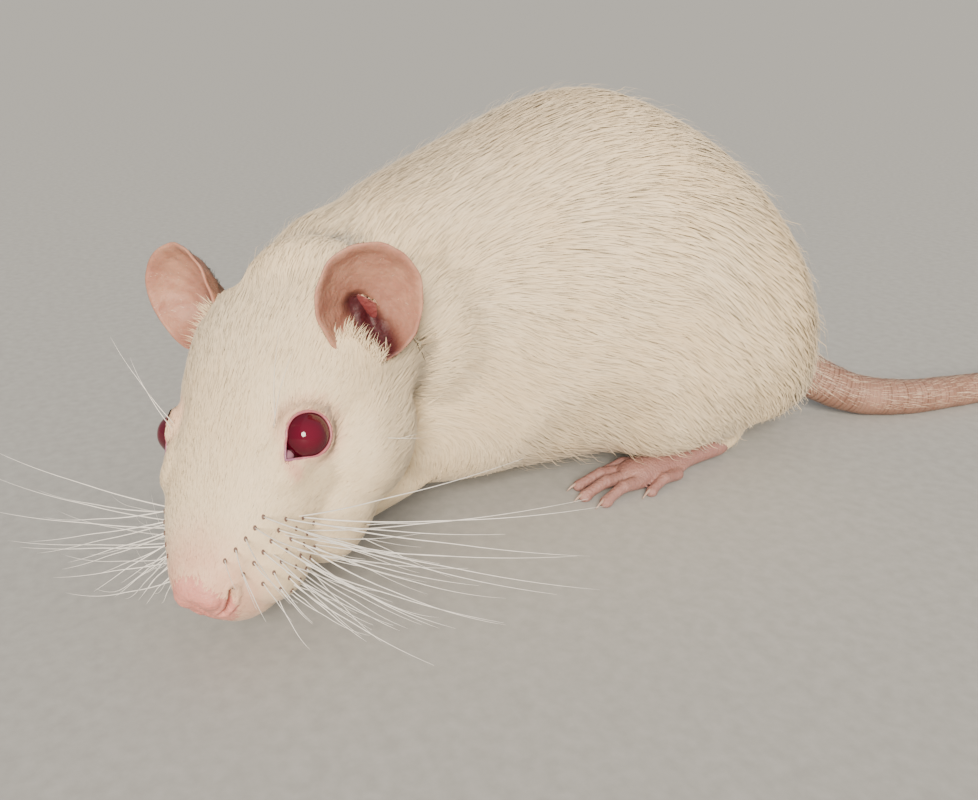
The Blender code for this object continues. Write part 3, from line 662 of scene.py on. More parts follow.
def near_curve(points, curve):
    """The distance from each point to a line of points."""
    found = np.full(len(points), 1e9)
    curve = np.array(curve, float)
    for start, end in zip(curve, curve[1:]):
        along = end - start
        t = np.clip((points - start) @ along / (along @ along), 0, 1)
        found = np.minimum(found, np.linalg.norm(points - start - t[:, None] * along, axis=1))
    return found


def guide_arrays():
    """All the coat's guides as arrays: places, directions, lengths and lifts."""
    places, ways, sizes = [], [], []
    for place, way, length, lift in HEAD_GUIDES:
        for side in (LEFT, RIGHT) if place[1] else (LEFT,):
            places.append(HEAD @ (sided(place, side) * MM))
            ways.append((HEAD.to_3x3() @ sided(way, side)).normalized())
            sizes.append((length, lift))
    for place, way, length, lift in BODY_GUIDES:
        places.append(Vector(place) * MM)
        ways.append(Vector(way).normalized())
        sizes.append((length, lift))
    return np.array(places), np.array(ways), np.array(sizes)


GUIDE_PLACES, GUIDE_WAYS, GUIDE_SIZES = guide_arrays()


def coat_at(points):
    """The hair's direction, length and lift at places, read from the guides around them."""
    ways = np.empty((len(points), 3))
    sizes = np.empty((len(points), 2))
    for start in range(0, len(points), GUIDE_BATCH):
        some = slice(start, start + GUIDE_BATCH)
        gaps = np.linalg.norm(points[some][:, None] - GUIDE_PLACES[None], axis=2) / MM
        weights = 1 / (gaps ** 2 + 9) ** 2.5
        weights /= weights.sum(axis=1, keepdims=True)
        ways[some] = weights @ GUIDE_WAYS
        sizes[some] = weights @ GUIDE_SIZES
    return ways, sizes[:, 0], sizes[:, 1]


def shape_eyes(points):
    """Opens the lids round each eye and draws them close over the eyeball."""
    for side in (LEFT, RIGHT):
        place = eye_frame(side)
        local = into(place, points)
        distance = np.linalg.norm(local, axis=1)
        near = (distance < 10.5) & (local[:, 2] > -1.5)
        spot = local[near]
        past, _ = past_lid(spot)
        present = distance[near]
        hug = EYE_BALL + LID_GAP + 0.22 * np.clip(past, 0, 3) + 0.05 * bell(past, 0.5, 0.35)
        outside = present + (hug - present) * fade(0.2, 5.2, past)
        sunk = EYE_BALL - 1.1
        share = smooth_step(-0.32, 0.0, past)
        wanted = sunk + (outside - sunk) * share
        spot = spot / present[:, None] * wanted[:, None]
        past, reach = past_lid(spot)
        spot[:, 2] -= CORNER_SINK * smooth_step(0.15, -0.3, past) * smooth_step(1.8, 2.6, reach)
        points[near] = out_of(place, spot)
    return points


def nostril_gap(spots, side):
    """How far each place lies from a nostril's line."""
    return near_curve(spots, [tuple(sided(place, side)) for place in NOSTRIL])


def eye_gap(spots, side):
    """How far each place lies from an eye's centre."""
    return np.linalg.norm(spots - np.array(sided(EYE_CENTRE, side)), axis=1)


def lip_gap(spots):
    """How far each place lies outside the line of the mouth, and whether it is low enough for the lips."""
    jaw = (spots - np.array(JAW_CENTRE)) / np.array(JAW_RADII)
    return (np.linalg.norm(jaw, axis=1) - 1) * JAW_SIZE, spots[:, 2] < -6


def shape_muzzle(points, normals):
    """Carves nostrils, the cleft of the lip and the line of the mouth, and raises the wings of the nose."""
    spots = to_head(points)
    shift = np.zeros(len(points))
    for side in (LEFT, RIGHT):
        gap = nostril_gap(spots, side)
        shift -= 1.25 * fade(0.15, 0.62, gap)
        shift += 0.22 * bell(gap, 0.95, 0.3)
    front = smooth_step(-7.5, -4.0, spots[:, 0]) * smooth_step(1.4, 0.2, spots[:, 2])
    shift -= 0.5 * bell(spots[:, 1], 0, 0.32) * (front * smooth_step(-12.5, -10, spots[:, 2]))
    line, low = lip_gap(spots)
    closed = smooth_step(-24, -20, spots[:, 0])
    shift -= 0.75 * bell(line, 0, 0.42) * closed * low
    shift += 0.16 * bell(line, 1.1, 0.5) * closed * low
    return points + normals * shift[:, None] * MM


def fine_faces(bm):
    """The faces of the nose, the lips and the lids, which are split finer."""
    centres = np.array([face.calc_center_median()[:] for face in bm.faces])
    spots = to_head(centres)
    fine = spots[:, 0] > -9.5
    fine |= (spots[:, 0] > -24) & (spots[:, 2] < -7.5) & (np.abs(spots[:, 1]) < 12)
    for side in (LEFT, RIGHT):
        fine |= eye_gap(spots, side) < 6.6
    fine &= spots[:, 0] > -34
    return [face for face, wanted in zip(bm.faces, fine) if wanted]


def ear_cup(local, side):
    """How much each place, in an ear's frame, lies before its open cup, from 0 to 1, and the cup behind it."""
    across = local[:, 1] / (0.5 * EAR_WIDTH)
    reach = np.full(len(local), 0.5)
    for _ in range(24):
        along = (local[:, 2] / EAR_LENGTH - 0.30 - 0.18 * reach) / 0.5
        wide = across / (1 + 0.10 * np.clip(along / np.maximum(reach, 0.05), -1, 1))
        reach = 0.5 * (reach + np.hypot(wide, along))
    face = ear_surface(np.minimum(reach, 1.1), np.arctan2(along, wide), side)[:, 0]
    edge = 4.8 - 4.4 * smooth_step(-4.2, 0.2, local[:, 1] * side)
    open_share = smooth_step(edge - 1.4, edge + 0.6, local[:, 2]) * fade(0.92, 1.04, reach)
    before = np.stack([face, local[:, 1], local[:, 2]], axis=1)
    depth = local[:, 0] - face + 1.2 * canal_share(before, side, CANAL_HOLLOW)
    return open_share * smooth_step(-2.6, -1.2, depth) * (local[:, 0] < 11), before


def hollow_ears(points, mesh):
    """Sinks the skin under each ear's open cup, but not through the skin behind it, and tells where, and where
    the canal's painted shade falls on the skin.
    """
    bare, deep = np.zeros((2, len(points)))
    normals = normals_of(mesh)
    tree = search_tree(mesh)
    for name, side in SIDES.items():
        place = ear_frame(name)
        facing = np.array(place.to_3x3())[:, 0]
        local = into(place, points)
        share, before = ear_cup(local, side)
        share = share * smooth_step(0.0, 0.25, normals @ facing)
        canal = canal_share(before, side, CANAL_HOLLOW)
        sink = share * np.maximum(0, local[:, 0] - before[:, 0] + CUP_CLEARANCE + CANAL_DEPTH * canal)
        # Painted shade of the canal on the skin.
        deep = np.maximum(deep, share * canal_share(before, side, CANAL_SHADE))
        back = Vector(-facing)
        for i in np.nonzero(sink > 0)[0]:
            start = Vector(points[i]) + back * 0.05 * MM
            hit = tree.ray_cast(start, back, 30 * MM)
            if hit[3] is not None:
                sink[i] = min(sink[i], SINK_SHARE * hit[3] / MM)
        local[:, 0] -= sink
        bare = np.maximum(bare, share)
        points = np.where((sink > 0)[:, None], out_of(place, local), points)
    return points, bare, deep


def coat_depth(points):
    """How deep the skin lies under the tips of the coat, in millimetres."""
    _, lengths, lifts = coat_at(points)
    depth = COAT_DEPTH * lengths * np.sin(np.radians(lifts))
    return depth * fade(-6.5, -3.5, to_head(points)[:, 0])


def make_skin():
    """The one skin under the coat: head, neck, trunk and upper legs."""
    trunk = blend("trunk", fill_trunk, TRUNK_VOXEL, 14)

    def fill(bm):
        bm.from_mesh(trunk.data)
        fill_head(bm)
        for name in SIDES:
            add_limb(bm, SHANKS[name])
            add_limb(bm, FOREARMS[name])
        root = [(x, y, z + TAIL_RADIUS, thick) for (x, y, z), thick in zip(TAIL_ROWS, (5.2, 4.6, 3.2))]
        add_limb(bm, root)

    back = blend("back", fill, BODY_VOXEL, 3)
    front = blend("skin", fill, HEAD_VOXEL, 16)
    drop(trunk)
    trim(back.data, to_head(points_of(back.data))[:, 0] > HEAD_SPLIT)
    trim(front.data, to_head(points_of(front.data))[:, 0] < HEAD_SPLIT - HEAD_OVERLAP)
    bm = bmesh.new()
    bm.from_mesh(front.data)
    fine = fine_faces(bm)
    edges = list({edge for face in fine for edge in face.edges})
    bmesh.ops.subdivide_edges(bm, edges=edges, cuts=1, use_grid_fill=True, smooth=0.0)
    bm.from_mesh(back.data)
    bmesh.ops.triangulate(bm, faces=bm.faces)
    bm.to_mesh(front.data)
    bm.free()
    drop(back)
    mesh = front.data
    points = points_of(mesh)
    points -= normals_of(mesh) * coat_depth(points)[:, None] * MM
    points = shape_eyes(points)
    set_points(mesh, points)
    points = shape_muzzle(points_of(mesh), normals_of(mesh))
    points[:, 2] = np.maximum(points[:, 2], SKIN_FLOOR)
    set_points(mesh, points)
    points, cup, deep = hollow_ears(points, mesh)
    spots = to_head(points)
    bare, dark = skin_marks(spots)
    set_points(mesh, points)
    set_value(mesh, "bare", np.maximum(bare, cup))
    # Painted shade darkens the skin in the nostrils, the mouth's line, the eyes' folds and at the ears' canals.
    set_value(mesh, "dark", np.maximum(dark, 0.92 * deep))
    set_value(mesh, "tint", coat_tint(spots))
    # The skin's own pink round the eyes, and painted shade in the hollows under the ears' cups.
    flush_and_shade = cup
    for side in (LEFT, RIGHT):
        flush_and_shade = np.maximum(flush_and_shade, fade(3.9, 4.5, eye_gap(spots, side)))
    set_value(mesh, "flush_and_shade", flush_and_shade)
    return front


def nose_reach(spots):
    """How far each place lies from the nose's middle, as a share of the pad's size."""
    return np.linalg.norm((spots - np.array(NOSE_MIDDLE)) / np.array(NOSE_RADII), axis=1)


def fold_line(side):
    """The fold that runs down from an eye's front corner, in the head's frame."""
    top = np.array(FOLD_TOP) * (1, side, 1)
    return [top + np.array([ahead, 0.42 * ahead * side, -down]) for ahead, down in FOLD_STEPS]


def skin_marks(spots):
    """Where the head's skin is bare and pink, and where painted shade darkens it: nostrils, mouth and the eyes'
    folds.
    """
    bare = fade(0.6, 1.0, nose_reach(spots))
    dark = np.zeros(len(spots))
    for side in (LEFT, RIGHT):
        # Painted shade in the nostrils and along the folds under the eyes.
        dark = np.maximum(dark, fade(0.12, 0.5, nostril_gap(spots, side)))
        bare = np.maximum(bare, fade(3.95, 4.4, eye_gap(spots, side)))
        dark = np.maximum(dark, 0.62 * fade(0.2, 0.95, near_curve(spots, fold_line(side))))
    line, low = lip_gap(spots)
    lips = low & (spots[:, 0] > -23)
    bare = np.maximum(bare, fade(0.5, 1.1, np.abs(line)) * lips)
    # Painted shade in the line of the mouth.
    dark = np.maximum(dark, 0.8 * fade(0.1, 0.45, np.abs(line)) * lips)
    return bare, dark


def ear_frame(name):
    """A frame at an ear's root, with X out of its cup and Z towards its tip."""
    turn = HEAD.to_3x3()
    root, tip, face = (sided(values, SIDES[name]) for values in EARS[name])
    face = (turn @ face).normalized()
    tip = turn @ tip
    tip = (tip - face * tip.dot(face)).normalized()
    return frame_of(face, tip.cross(face), tip, HEAD @ (root * MM))


def ear_surface(reach, angle, side):
    """A place on an ear's inner face, in millimetres in the ear's frame."""
    across = np.cos(angle)
    along = np.sin(angle)
    rear = across * side
    wide = 0.5 * EAR_WIDTH * (1 + 0.10 * along)
    y = wide * reach * across
    z = EAR_LENGTH * (0.30 + 0.18 * reach + 0.5 * reach * along)
    x = EAR_DEPTH * (reach ** 2 - 1)
    x = x + 0.16 * EAR_WIDTH * reach ** 3 * np.maximum(0, -rear) ** 2
    x = x + 0.10 * EAR_WIDTH * reach ** 3 * np.maximum(0, -along) ** 2
    x = x + 0.35 * bell(reach, 0.93, 0.06) * smooth_step(-0.6, 0.2, along)
    fold = bell(y * side, -1.5, 1.1) * bell(z, 4.5, 3.2)
    crease = bell(y * side, 1.6, 0.8) * bell(z, 5.5, 3.5)
    x = x + 0.9 * fold + 0.6 * crease
    return np.stack([x, y, z], axis=-1)


def canal_share(points, side, spread):
    """How much each place, in an ear's frame, belongs to its canal and what lies round it."""
    low, high = np.array(EAR_CANAL) * (1, side, 1)
    along = high - low
    t = np.clip((points - low) @ along / (along @ along), 0, 1)
    gap = np.linalg.norm((points - low - t[:, None] * along) * np.array([0.45, 1, 1]), axis=1)
    return fade(1.5 - 0.6 * t, (3.0 - 1.0 * t) * spread, gap)


def ear_grain(reach, angle, side):
    """Places on an ear's inner face, the ways from its middle to its rim there, and the ways it faces."""
    across = ear_surface(reach, angle + 0.01, side) - ear_surface(reach, angle - 0.01, side)
    outward = ear_surface(reach + 0.005, angle, side) - ear_surface(reach - 0.005, angle, side)
    facing = unit(np.cross(outward, across))
    facing *= np.sign(facing[..., :1] + 1e-9)
    return ear_surface(reach, angle, side), outward, facing


def ear_thickness(reach):
    """How thick an ear is, in millimetres, from its middle to its rim."""
    return 1.0 - 0.55 * reach


def make_ear(name):
    """One ear: a thin cup with a rolled rim, folds at its root and a canal, sunk a little, whose painted shade
    deepens inwards.
    """
    side = SIDES[name]
    turns, steps = EAR_TURNS, EAR_STEPS
    reach = np.linspace(0.03, 1, steps)[:, None] * np.ones((1, turns))
    angle = np.linspace(0, 2 * np.pi, turns, endpoint=False)[None] * np.ones((steps, 1))
    inner, outward, facing = ear_grain(reach, angle, side)
    rough = 0.10 * np.sin(angle * 7 + reach * 9) * reach ** 2 + 0.08 * np.sin(angle * 13 - reach * 5)
    inner = inner + facing * (rough * smooth_step(0.2, 0.7, reach))[..., None]
    # Painted shade in the canal, and a fainter ring of it round the canal.
    canal = canal_share(inner.reshape(-1, 3), side, CANAL_EAR_SHADE)
    around = canal_share(inner.reshape(-1, 3), side, CANAL_SHADE_RING)
    inner[..., 0] -= 0.9 * canal.reshape(inner.shape[:2])
    outer = inner - facing * ear_thickness(reach)[..., None]
    lip = (inner[-1] + outer[-1]) / 2 + unit(outward[-1]) * 0.16
    rows = np.concatenate([inner, lip[None], outer[::-1]])
    points = rows.reshape(-1, 3)
    total = len(points)
    faces = grid_quads(len(rows), turns)[:, [0, 1, 2, 0, 2, 3]].reshape(-1, 3).tolist()
    for i in range(turns):
        j = (i + 1) % turns
        faces += [(total, j, i), (total + 1, total - turns + i, total - turns + j)]
    points = np.vstack([points, points[:turns].mean(axis=0), points[-turns:].mean(axis=0)])
    place = ear_frame(name)
    mesh = array_mesh(f"ear_skin_{name}", out_of(place, points), np.array(faces))
    bm = bmesh.new()
    bm.from_mesh(mesh)
    bmesh.ops.recalc_face_normals(bm, faces=bm.faces)
    bm.to_mesh(mesh)
    bm.free()
    unseen = np.zeros(len(points) - len(canal))
    set_value(mesh, "dark", np.concatenate([canal, unseen]))
    set_value(mesh, "flush_and_shade", np.concatenate([around, unseen]))
    set_value(mesh, "bare", np.ones(len(points)))
    ear = add_object(mesh.name, mesh)
    coat_ear(name, place)
    keep_piece(ear, MATERIALS["ear"], "skin", f"ear_{name}")


def make_eye(name):
    """One eyeball with a clear bulge in front."""
    place = eye_frame(SIDES[name])
    eye = make_object(f"eye_ball_{name}", lambda bm: add_ball(bm, Matrix(), (0, 0, 0), [EYE_BALL] * 3, 40))
    points = points_of(eye.data)
    facing = unit(points)[:, 2]
    points *= (1 + 0.05 * smooth_step(0.72, 1.0, facing))[:, None]
    set_value(eye.data, "facing", facing)
    set_points(eye.data, points @ np.array(place.to_3x3()).T + np.array(place.translation))
    keep_piece(eye, MATERIALS["eye"], "eye", f"eye_{name}")


def make_lids(name):
    """The rim of bare skin along one eye's lids, with the small flesh of its front corner."""
    place = eye_frame(SIDES[name])
    angles = np.linspace(0, 2 * np.pi, LID_STEPS, endpoint=False)
    reach = lid_reach(angles) - 0.08
    rise = lid_rise(reach)
    line = [Vector((r * math.cos(a), r * math.sin(a), z)) * MM for r, a, z in zip(reach, angles, rise)]

    def fill(bm):
        rings = []
        for i, point in enumerate(line):
            along = line[(i + 1) % len(line)] - line[i - 1]
            thick = (0.21 + 0.03 * math.sin(5 * angles[i])) * MM
            local = axis_frame(point, along, point.normalized())
            rings.append(section(local, thick, thick, thick, LID_TURNS))
        rows = [[bm.verts.new(place @ point) for point in ring] for ring in rings]
        bridge(bm, rows + rows[:1])

    def fill_corner(bm):
        add_ball(bm, place, CORNER_PLACE, CORNER_RADII)

    lids = make_object(f"lids_{name}", fill)
    spots = into(place, points_of(lids.data))
    set_value(lids.data, "bare", np.ones(len(spots)))
    set_value(lids.data, "dark", smooth_step(3.0, 4.6, spots[:, 0]))
    keep_piece(make_object(f"eye_corner_{name}", fill_corner), MATERIALS["corner"], "skin")
    keep_piece(lids, MATERIALS["lid"], "skin")


def toe_rows(side, root, heading, length, radius):
    """One toe as rows of x, y, z and radius: it rises to a knuckle and comes down to its pad."""
    forward = Vector((math.cos(heading), math.sin(heading), 0))
    rows = []
    for reach, height, thick in ((0, 2.3, 1.15), (0.5, 2.9, 0.95), (0.8, 2.0, 0.85), (1.0, 1.2, 0.9)):
        place = Vector(root) + forward * length * reach
        rows.append((place.x, place.y * side, height * radius / 1.5, thick * radius))
    return rows


def foot_frame(heel, toe):
    """A frame on the floor with its origin at the heel and X towards the toes."""
    start = Vector((*heel, 0)) * MM
    end = Vector((*toe, 0)) * MM
    return axis_frame(start, end - start)


def make_foot(name, place, leg, toes, sole, thumb=None):
    """A bare foot with knuckles, pads and tendons, and its claws as a piece of their own."""

    def fill(bm):
        add_limb(bm, sole, place, flatness=0.72)
        add_limb(bm, [(x, y, z, 0.86 * radius) for x, y, z, radius in leg])
        for rows in toes:
            add_limb(bm, rows, place)
            x, y, z, radius = rows[1]
            add_ball(bm, place, (x, y, z + 0.1), (radius * 1.15, radius * 1.12, radius * 1.08), 10)
            x, y, z, radius = rows[3]
            add_ball(bm, place, (x - 0.2, y, z - 0.1), (radius * 1.3, radius * 1.12, radius * 1.0), 10)
            x, y, z, radius = rows[0]
            tendon = [(x - 9, y * 0.45, z + 0.9, 0.5), (x - 4, y * 0.75, z + 0.8, 0.6), (x, y, z + 0.3, 0.8)]
            add_limb(bm, tendon, place)
        if thumb:
            add_ball(bm, place, *thumb)

    foot = blend(f"foot_{name}", fill, FOOT_VOXEL, 4)
    trim(foot.data, points_of(foot.data)[:, 2] > FOOT_TOP)
    points = points_of(foot.data)
    points[:, 2] = np.maximum(points[:, 2], FOOT_FLOOR)
    set_points(foot.data, points)
    set_value(foot.data, "dark", np.zeros(len(points)))
    set_value(foot.data, "bare", np.ones(len(points)))

    def fill_claws(bm):
        for rows in toes:
            before, tip = (Vector(row[:3]) for row in rows[-2:])
            forward = Vector((tip.x - before.x, tip.y - before.y, 0)).normalized() * CLAW_LENGTH
            base = tip + Vector((0, 0, 0.25))
            rings = []
            for step in range(9):
                t = step / 8
                height = 0.35 * math.sin(math.pi * t) - 0.95 * t * t
                bent = base + forward * (-0.3 + 1.4 * t) + Vector((0, 0, height))
                bent.z = max(bent.z, CLAW_FLOOR)
                thick = (0.52 * (1 - t) ** 0.7 + 0.05) * MM
                spot = place @ (bent * MM)
                along = place.to_3x3() @ (forward + Vector((0, 0, -1.2 * t)))
                rings.append(section(axis_frame(spot, along), thick * 0.8, thick, thick, 10))
            add_loft(bm, rings)

    keep_piece(make_object(f"claws_{name}", fill_claws), MATERIALS["claw"], "skin")
    keep_piece(foot, MATERIALS["foot"], "skin", name)


def make_feet():
    """All four feet."""
    for side_name, side in SIDES.items():
        place = foot_frame(*HIND_FEET[side_name])
        sole = [(3.6, 0, 3.6, 3.6), (11, 0, 3.0, 3.2), (19, 0, 2.6, 3.8), (26, 0, 2.4, 4.2)]
        toes = []
        for across, start, length, radius in (
            (-4.4, 20.0, 10.0, 1.35),
            (-2.9, 27.0, 10.6, 1.45),
            (0.0, 28.0, 11.4, 1.5),
            (2.9, 27.0, 10.6, 1.45),
            (4.2, 18.0, 9.0, 1.3),
        ):
            toes.append(toe_rows(side, (start, across, 0), math.radians(across * 2.6), length, radius * 0.92))
        make_foot(f"hind_foot_{side_name}", place, SHANKS[side_name][2:], toes, sole)
        place = foot_frame(*FOREFEET[side_name])
        sole = [(1.5, 0, 2.6, 2.9), (5, 0, 2.2, 3.1), (8.5, 0, 2.0, 3.5)]
        toes = []
        for across, start, length in ((-3.1, 8.0, 5.4), (-1.1, 9.5, 6.2), (1.1, 9.5, 6.2), (3.1, 8.0, 5.4)):
            toes.append(toe_rows(side, (start, across, 0), math.radians(across * 6), length, 1.08))
        thumb = (sided((4.5, -3.2, 1.6), side), (1.5, 1.2, 1.1))
        make_foot(f"forefoot_{side_name}", place, FOREARMS[side_name][3:], toes, sole, thumb)


def tail_line(steps):
    """The tail's middle line as points and radii in metres, at even steps."""
    rows = smooth_rows(TAIL_ROWS, 24)
    gaps = np.linalg.norm(np.diff(rows[:, :2], axis=0), axis=1)
    reach = np.concatenate([[0], np.cumsum(gaps)])
    wanted = np.linspace(0, reach[-1], steps)
    rows = np.stack([np.interp(wanted, reach, rows[:, k]) for k in range(3)], axis=1)
    share = wanted / reach[-1]
    radii = TAIL_RADIUS + (TAIL_TIP_RADIUS - TAIL_RADIUS) * share ** 0.9
    radii += (TAIL_ROOT_RADIUS - TAIL_RADIUS) * (1 - share) ** 9
    rows[:, 2] += radii - 0.15
    return rows * MM, radii * MM, wanted


def hair_path(roots, ways, lengths, leans, steps, scale=1.0):
    """Points along hairs, with steps along their ways and to their leans as shares of their lengths."""
    path = []
    for t, h in steps:
        path.append(roots + ways * (lengths * t * scale)[:, None] + leans * (lengths * h * scale)[:, None])
    return np.stack(path, axis=1)


def make_tail():
    """The tail with its rings of small scales, and the short hairs that grow between them."""
    steps, turns = TAIL_STEPS, TAIL_TURNS
    line, radii, reach = tail_line(steps)
    ways = unit(np.gradient(line, axis=0))
    lefts = unit(np.cross(np.array([0, 0, 1.0]), ways))
    ups = np.cross(ways, lefts)
    angles = np.linspace(0, 2 * np.pi, turns, endpoint=False)
    pitch = 1.0 + 0.25 * np.sin(reach * 0.11)
    phase = np.cumsum(np.gradient(reach) / pitch)
    ridge = phase % 1.0
    swell = 0.10 * (1 - ridge) ** 1.5 - 0.05 + 0.02 * np.sin(reach * 0.9)
    end = smooth_step(0, 1.6, reach[-1] - reach) ** 0.5
    points = np.empty((steps, turns, 3))
    for k, angle in enumerate(angles):
        around = math.cos(angle) * lefts + math.sin(angle) * ups
        scale = swell + 0.025 * np.sin(angle * 9 + np.floor(phase) * 2.4)
        points[:, k] = line + around * ((radii + scale * MM * 1.2) * end + 0.05 * MM)[:, None]
    flat = points.reshape(-1, 3)
    flat[:, 2] = np.maximum(flat[:, 2], FOOT_FLOOR)
    quads = grid_quads(steps, turns)
    mesh = array_mesh("tail_skin", flat, np.concatenate([quads[:, [0, 1, 2]], quads[:, [0, 2, 3]]]))
    set_value(mesh, "ring", np.repeat(ridge, turns))
    tail = add_object("tail_skin", mesh)
    keep_piece(tail, MATERIALS["tail"], "skin", "tail_1", "tail_2", "tail_3", "tail_4")
    draw = np.random.default_rng(TAIL_SEED)
    starts = draw.integers(30, steps - 8, TAIL_HAIRS)
    spin = draw.uniform(-0.35, np.pi + 0.35, len(starts))
    around = np.cos(spin)[:, None] * lefts[starts] + np.sin(spin)[:, None] * ups[starts]
    roots = line[starts] + around * (radii[starts] - 0.03 * MM)[:, None]
    lengths = draw.uniform(1.3, 2.4, len(starts)) * (1 + 1.2 * (1 - starts / steps) ** 12)
    path = hair_path(roots, ways[starts], lengths, around, ((0, 0), (0.5, 0.13), (1.0, 0.2)), MM)
    marks = np.stack([roots[:, 1] / 0.3 + 0.3, spin / 7 + 0.1], axis=1) % 1.0
    tuft_piece("tail_hairs", path, around, np.full(len(starts), 0.065), draw, marks, MATERIALS["down"])


# Coat


def tuft_piece(name, path, normals, widths, draw, marks, material, tint=None):
    """Joins many tufts into one piece: each is a flat tapering blade along three points of a path."""
    count = len(path)
    ways = unit(np.diff(path, axis=1))
    sides = unit(np.cross(ways[:, 0], normals))
    half = (0.5 * widths * MM)[:, None]
    rings = []
    for step, wide in enumerate((0.8, 1.0)):
        centre, across = path[:, step], sides * half * wide
        rings += [centre + across, centre + normals * half * (BLADE_RISE * wide), centre - across]
    points = np.stack(rings + [path[:, 2]], axis=1)
    one = []
    for i in range(3):
        j = (i + 1) % 3
        one += [(i, 3 + j, j), (i, 3 + i, 3 + j), (3 + i, 6, 3 + j)]
    one = np.array(one)
    faces = (one[None] + 7 * np.arange(count)[:, None, None]).reshape(-1, 3)
    mesh = array_mesh(name, points.reshape(-1, 3), faces)
    set_value(mesh, "along", np.tile([0, 0, 0, 0.5, 0.5, 0.5, 1.0], count))
    set_value(mesh, "tone", np.repeat(draw.uniform(0, 1, count), 7))
    set_value(mesh, "tint", np.repeat(np.zeros(count) if tint is None else tint, 7))
    lean = np.array([0.14, 0, -0.14, 0.14, 0, -0.14, 0])
    shading = unit(normals[:, None] + sides[:, None] * lean[None, :, None])
    mesh.shade_smooth()
    layer = mesh.uv_layers.new(name="OFBake")
    corners = np.array([(0, 0), (0.5, 0), (1, 0), (0, 0.5), (0.5, 0.5), (1, 0.5), (0.5, 1)])
    places = (0.001 + marks[:, None] * (0.998 - PATCH) + corners[None] * PATCH).reshape(-1, 2)
    layer.data.foreach_set("uv", places[faces.ravel()].astype(np.float32).ravel())
    mesh.normals_split_custom_set_from_vertices(shading.reshape(-1, 3).astype(np.float32))
    thing = add_object(name, mesh)
    thing.data.transform(Matrix.Translation(SHIFT))
    thing.data.materials.append(material)
    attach(thing, "root")


def scatter(mesh, density, draw):
    """Places of roots spread over a mesh, at the density per square millimetre that a function gives."""
    mesh.calc_loop_triangles()
    corners = np.empty(len(mesh.loop_triangles) * 3, dtype=np.int32)
    mesh.loop_triangles.foreach_get("vertices", corners)
    corners = points_of(mesh)[corners.reshape(-1, 3)]
    areas = np.linalg.norm(np.cross(corners[:, 1] - corners[:, 0], corners[:, 2] - corners[:, 0]), axis=1) / 2
    wanted = areas / MM ** 2 * density(corners.mean(axis=1))
    total = np.cumsum(wanted)
    picks = np.arange(draw.uniform(), total[-1], 1.0)
    picks += draw.uniform(-0.4, 0.4, len(picks))
    chosen = np.searchsorted(total, picks).clip(0, len(total) - 1)
    a, b = draw.uniform(0, 1, (2, len(chosen)))
    flip = a + b > 1
    a[flip], b[flip] = 1 - a[flip], 1 - b[flip]
    tri = corners[chosen]
    return tri[:, 0] + (tri[:, 1] - tri[:, 0]) * a[:, None] + (tri[:, 2] - tri[:, 0]) * b[:, None]


def bald(points, normals):
    """Whether each place is free of coat: nose, eyes and their folds, ears, feet and tail."""
    spots = to_head(points)
    free = nose_reach(spots) < 0.68 + 0.16 * rumple(points, 0.35)
    for name, side in SIDES.items():
        local = into(eye_frame(side), points)
        free |= (past_lid(local)[0] < 0) & (local[:, 2] > 0) & (np.linalg.norm(local, axis=1) < 7)
        free |= near_curve(spots, fold_line(side)) < 0.42 + 0.2 * rumple(points, 0.4)
        ear = ear_frame(name)
        facing = normals @ np.array(ear.to_3x3())[:, 0] > -0.15
        free |= facing & (ear_cup(into(ear, points), side)[0] > 0.45 + 0.4 * rumple(points, 0.5, 3.3))
        ankle = np.array(SHANKS[name][-1][:3]) * MM
        free |= np.linalg.norm(points - ankle, axis=1) < 2.4 * MM
        wrist = np.array(FOREARMS[name][3][:3]) * MM
        beside = np.abs(points[:, 0] - wrist[0]) < 8 * MM
        free |= (points[:, 1] < wrist[1]) & (points[:, 2] < 9 * MM) & beside
    free |= points[:, 1] > (TAIL_BARE + 4 * rumple(points, 1.1)) * MM
    return free


def follow_skin(tree, roots, ways, lengths, lifts):
    """Three points for each tuft, which leaves the skin and then lies along it, and the normal at its root."""
    count = len(roots)
    path = np.empty((count, 3, 3))
    first = np.empty((count, 3))
    heights = lengths * np.sin(np.radians(lifts)) * MM
    spots = roots.copy()
    headings = ways.copy()
    for step, (share, rise) in enumerate(((0, -0.05), (0.5, 0.8), (0.5, 0.9))):
        spots = spots + headings * (lengths * share * MM)[:, None]
        near = np.empty((count, 3))
        outs = np.empty((count, 3))
        for i in range(count):
            near[i], outs[i], _, _ = tree.find_nearest(spots[i])
        if step == 0:
            first[:] = outs
        headings = unit(headings - outs * np.sum(headings * outs, axis=1, keepdims=True))
        spots = near
        path[:, step] = near + outs * (heights * rise)[:, None]
    return path, first


def coat_marks(points):
    """Each root's place on an unwrap of the skin: round and along the head, or round and along the trunk."""
    spots = to_head(points)
    on_head = spots[:, 0] > HEAD_SPLIT
    head = np.stack([np.arctan2(spots[:, 1], spots[:, 2] + 2) / (2 * np.pi) + 0.5, -spots[:, 0] / 60], axis=1)
    centre = np.array([-2, 0, 36]) * MM
    round_trunk = np.arctan2(points[:, 0] - centre[0], points[:, 2] - centre[2]) / (2 * np.pi) + 0.5
    trunk = np.stack([round_trunk, (points[:, 1] / MM + 62) / 140], axis=1)
    return np.clip(np.where(on_head[:, None], head, trunk), 0, 1), on_head


def follicles():
    """Where whiskers grow on a pad, seen from the side: X and Z in the head's frame, row and column."""
    found = []
    for row, (height, start, count) in enumerate(FOLLICLE_ROWS):
        for column in range(count):
            found.append((start - 1.75 * column, height + 0.12 * column, row, column))
    return found


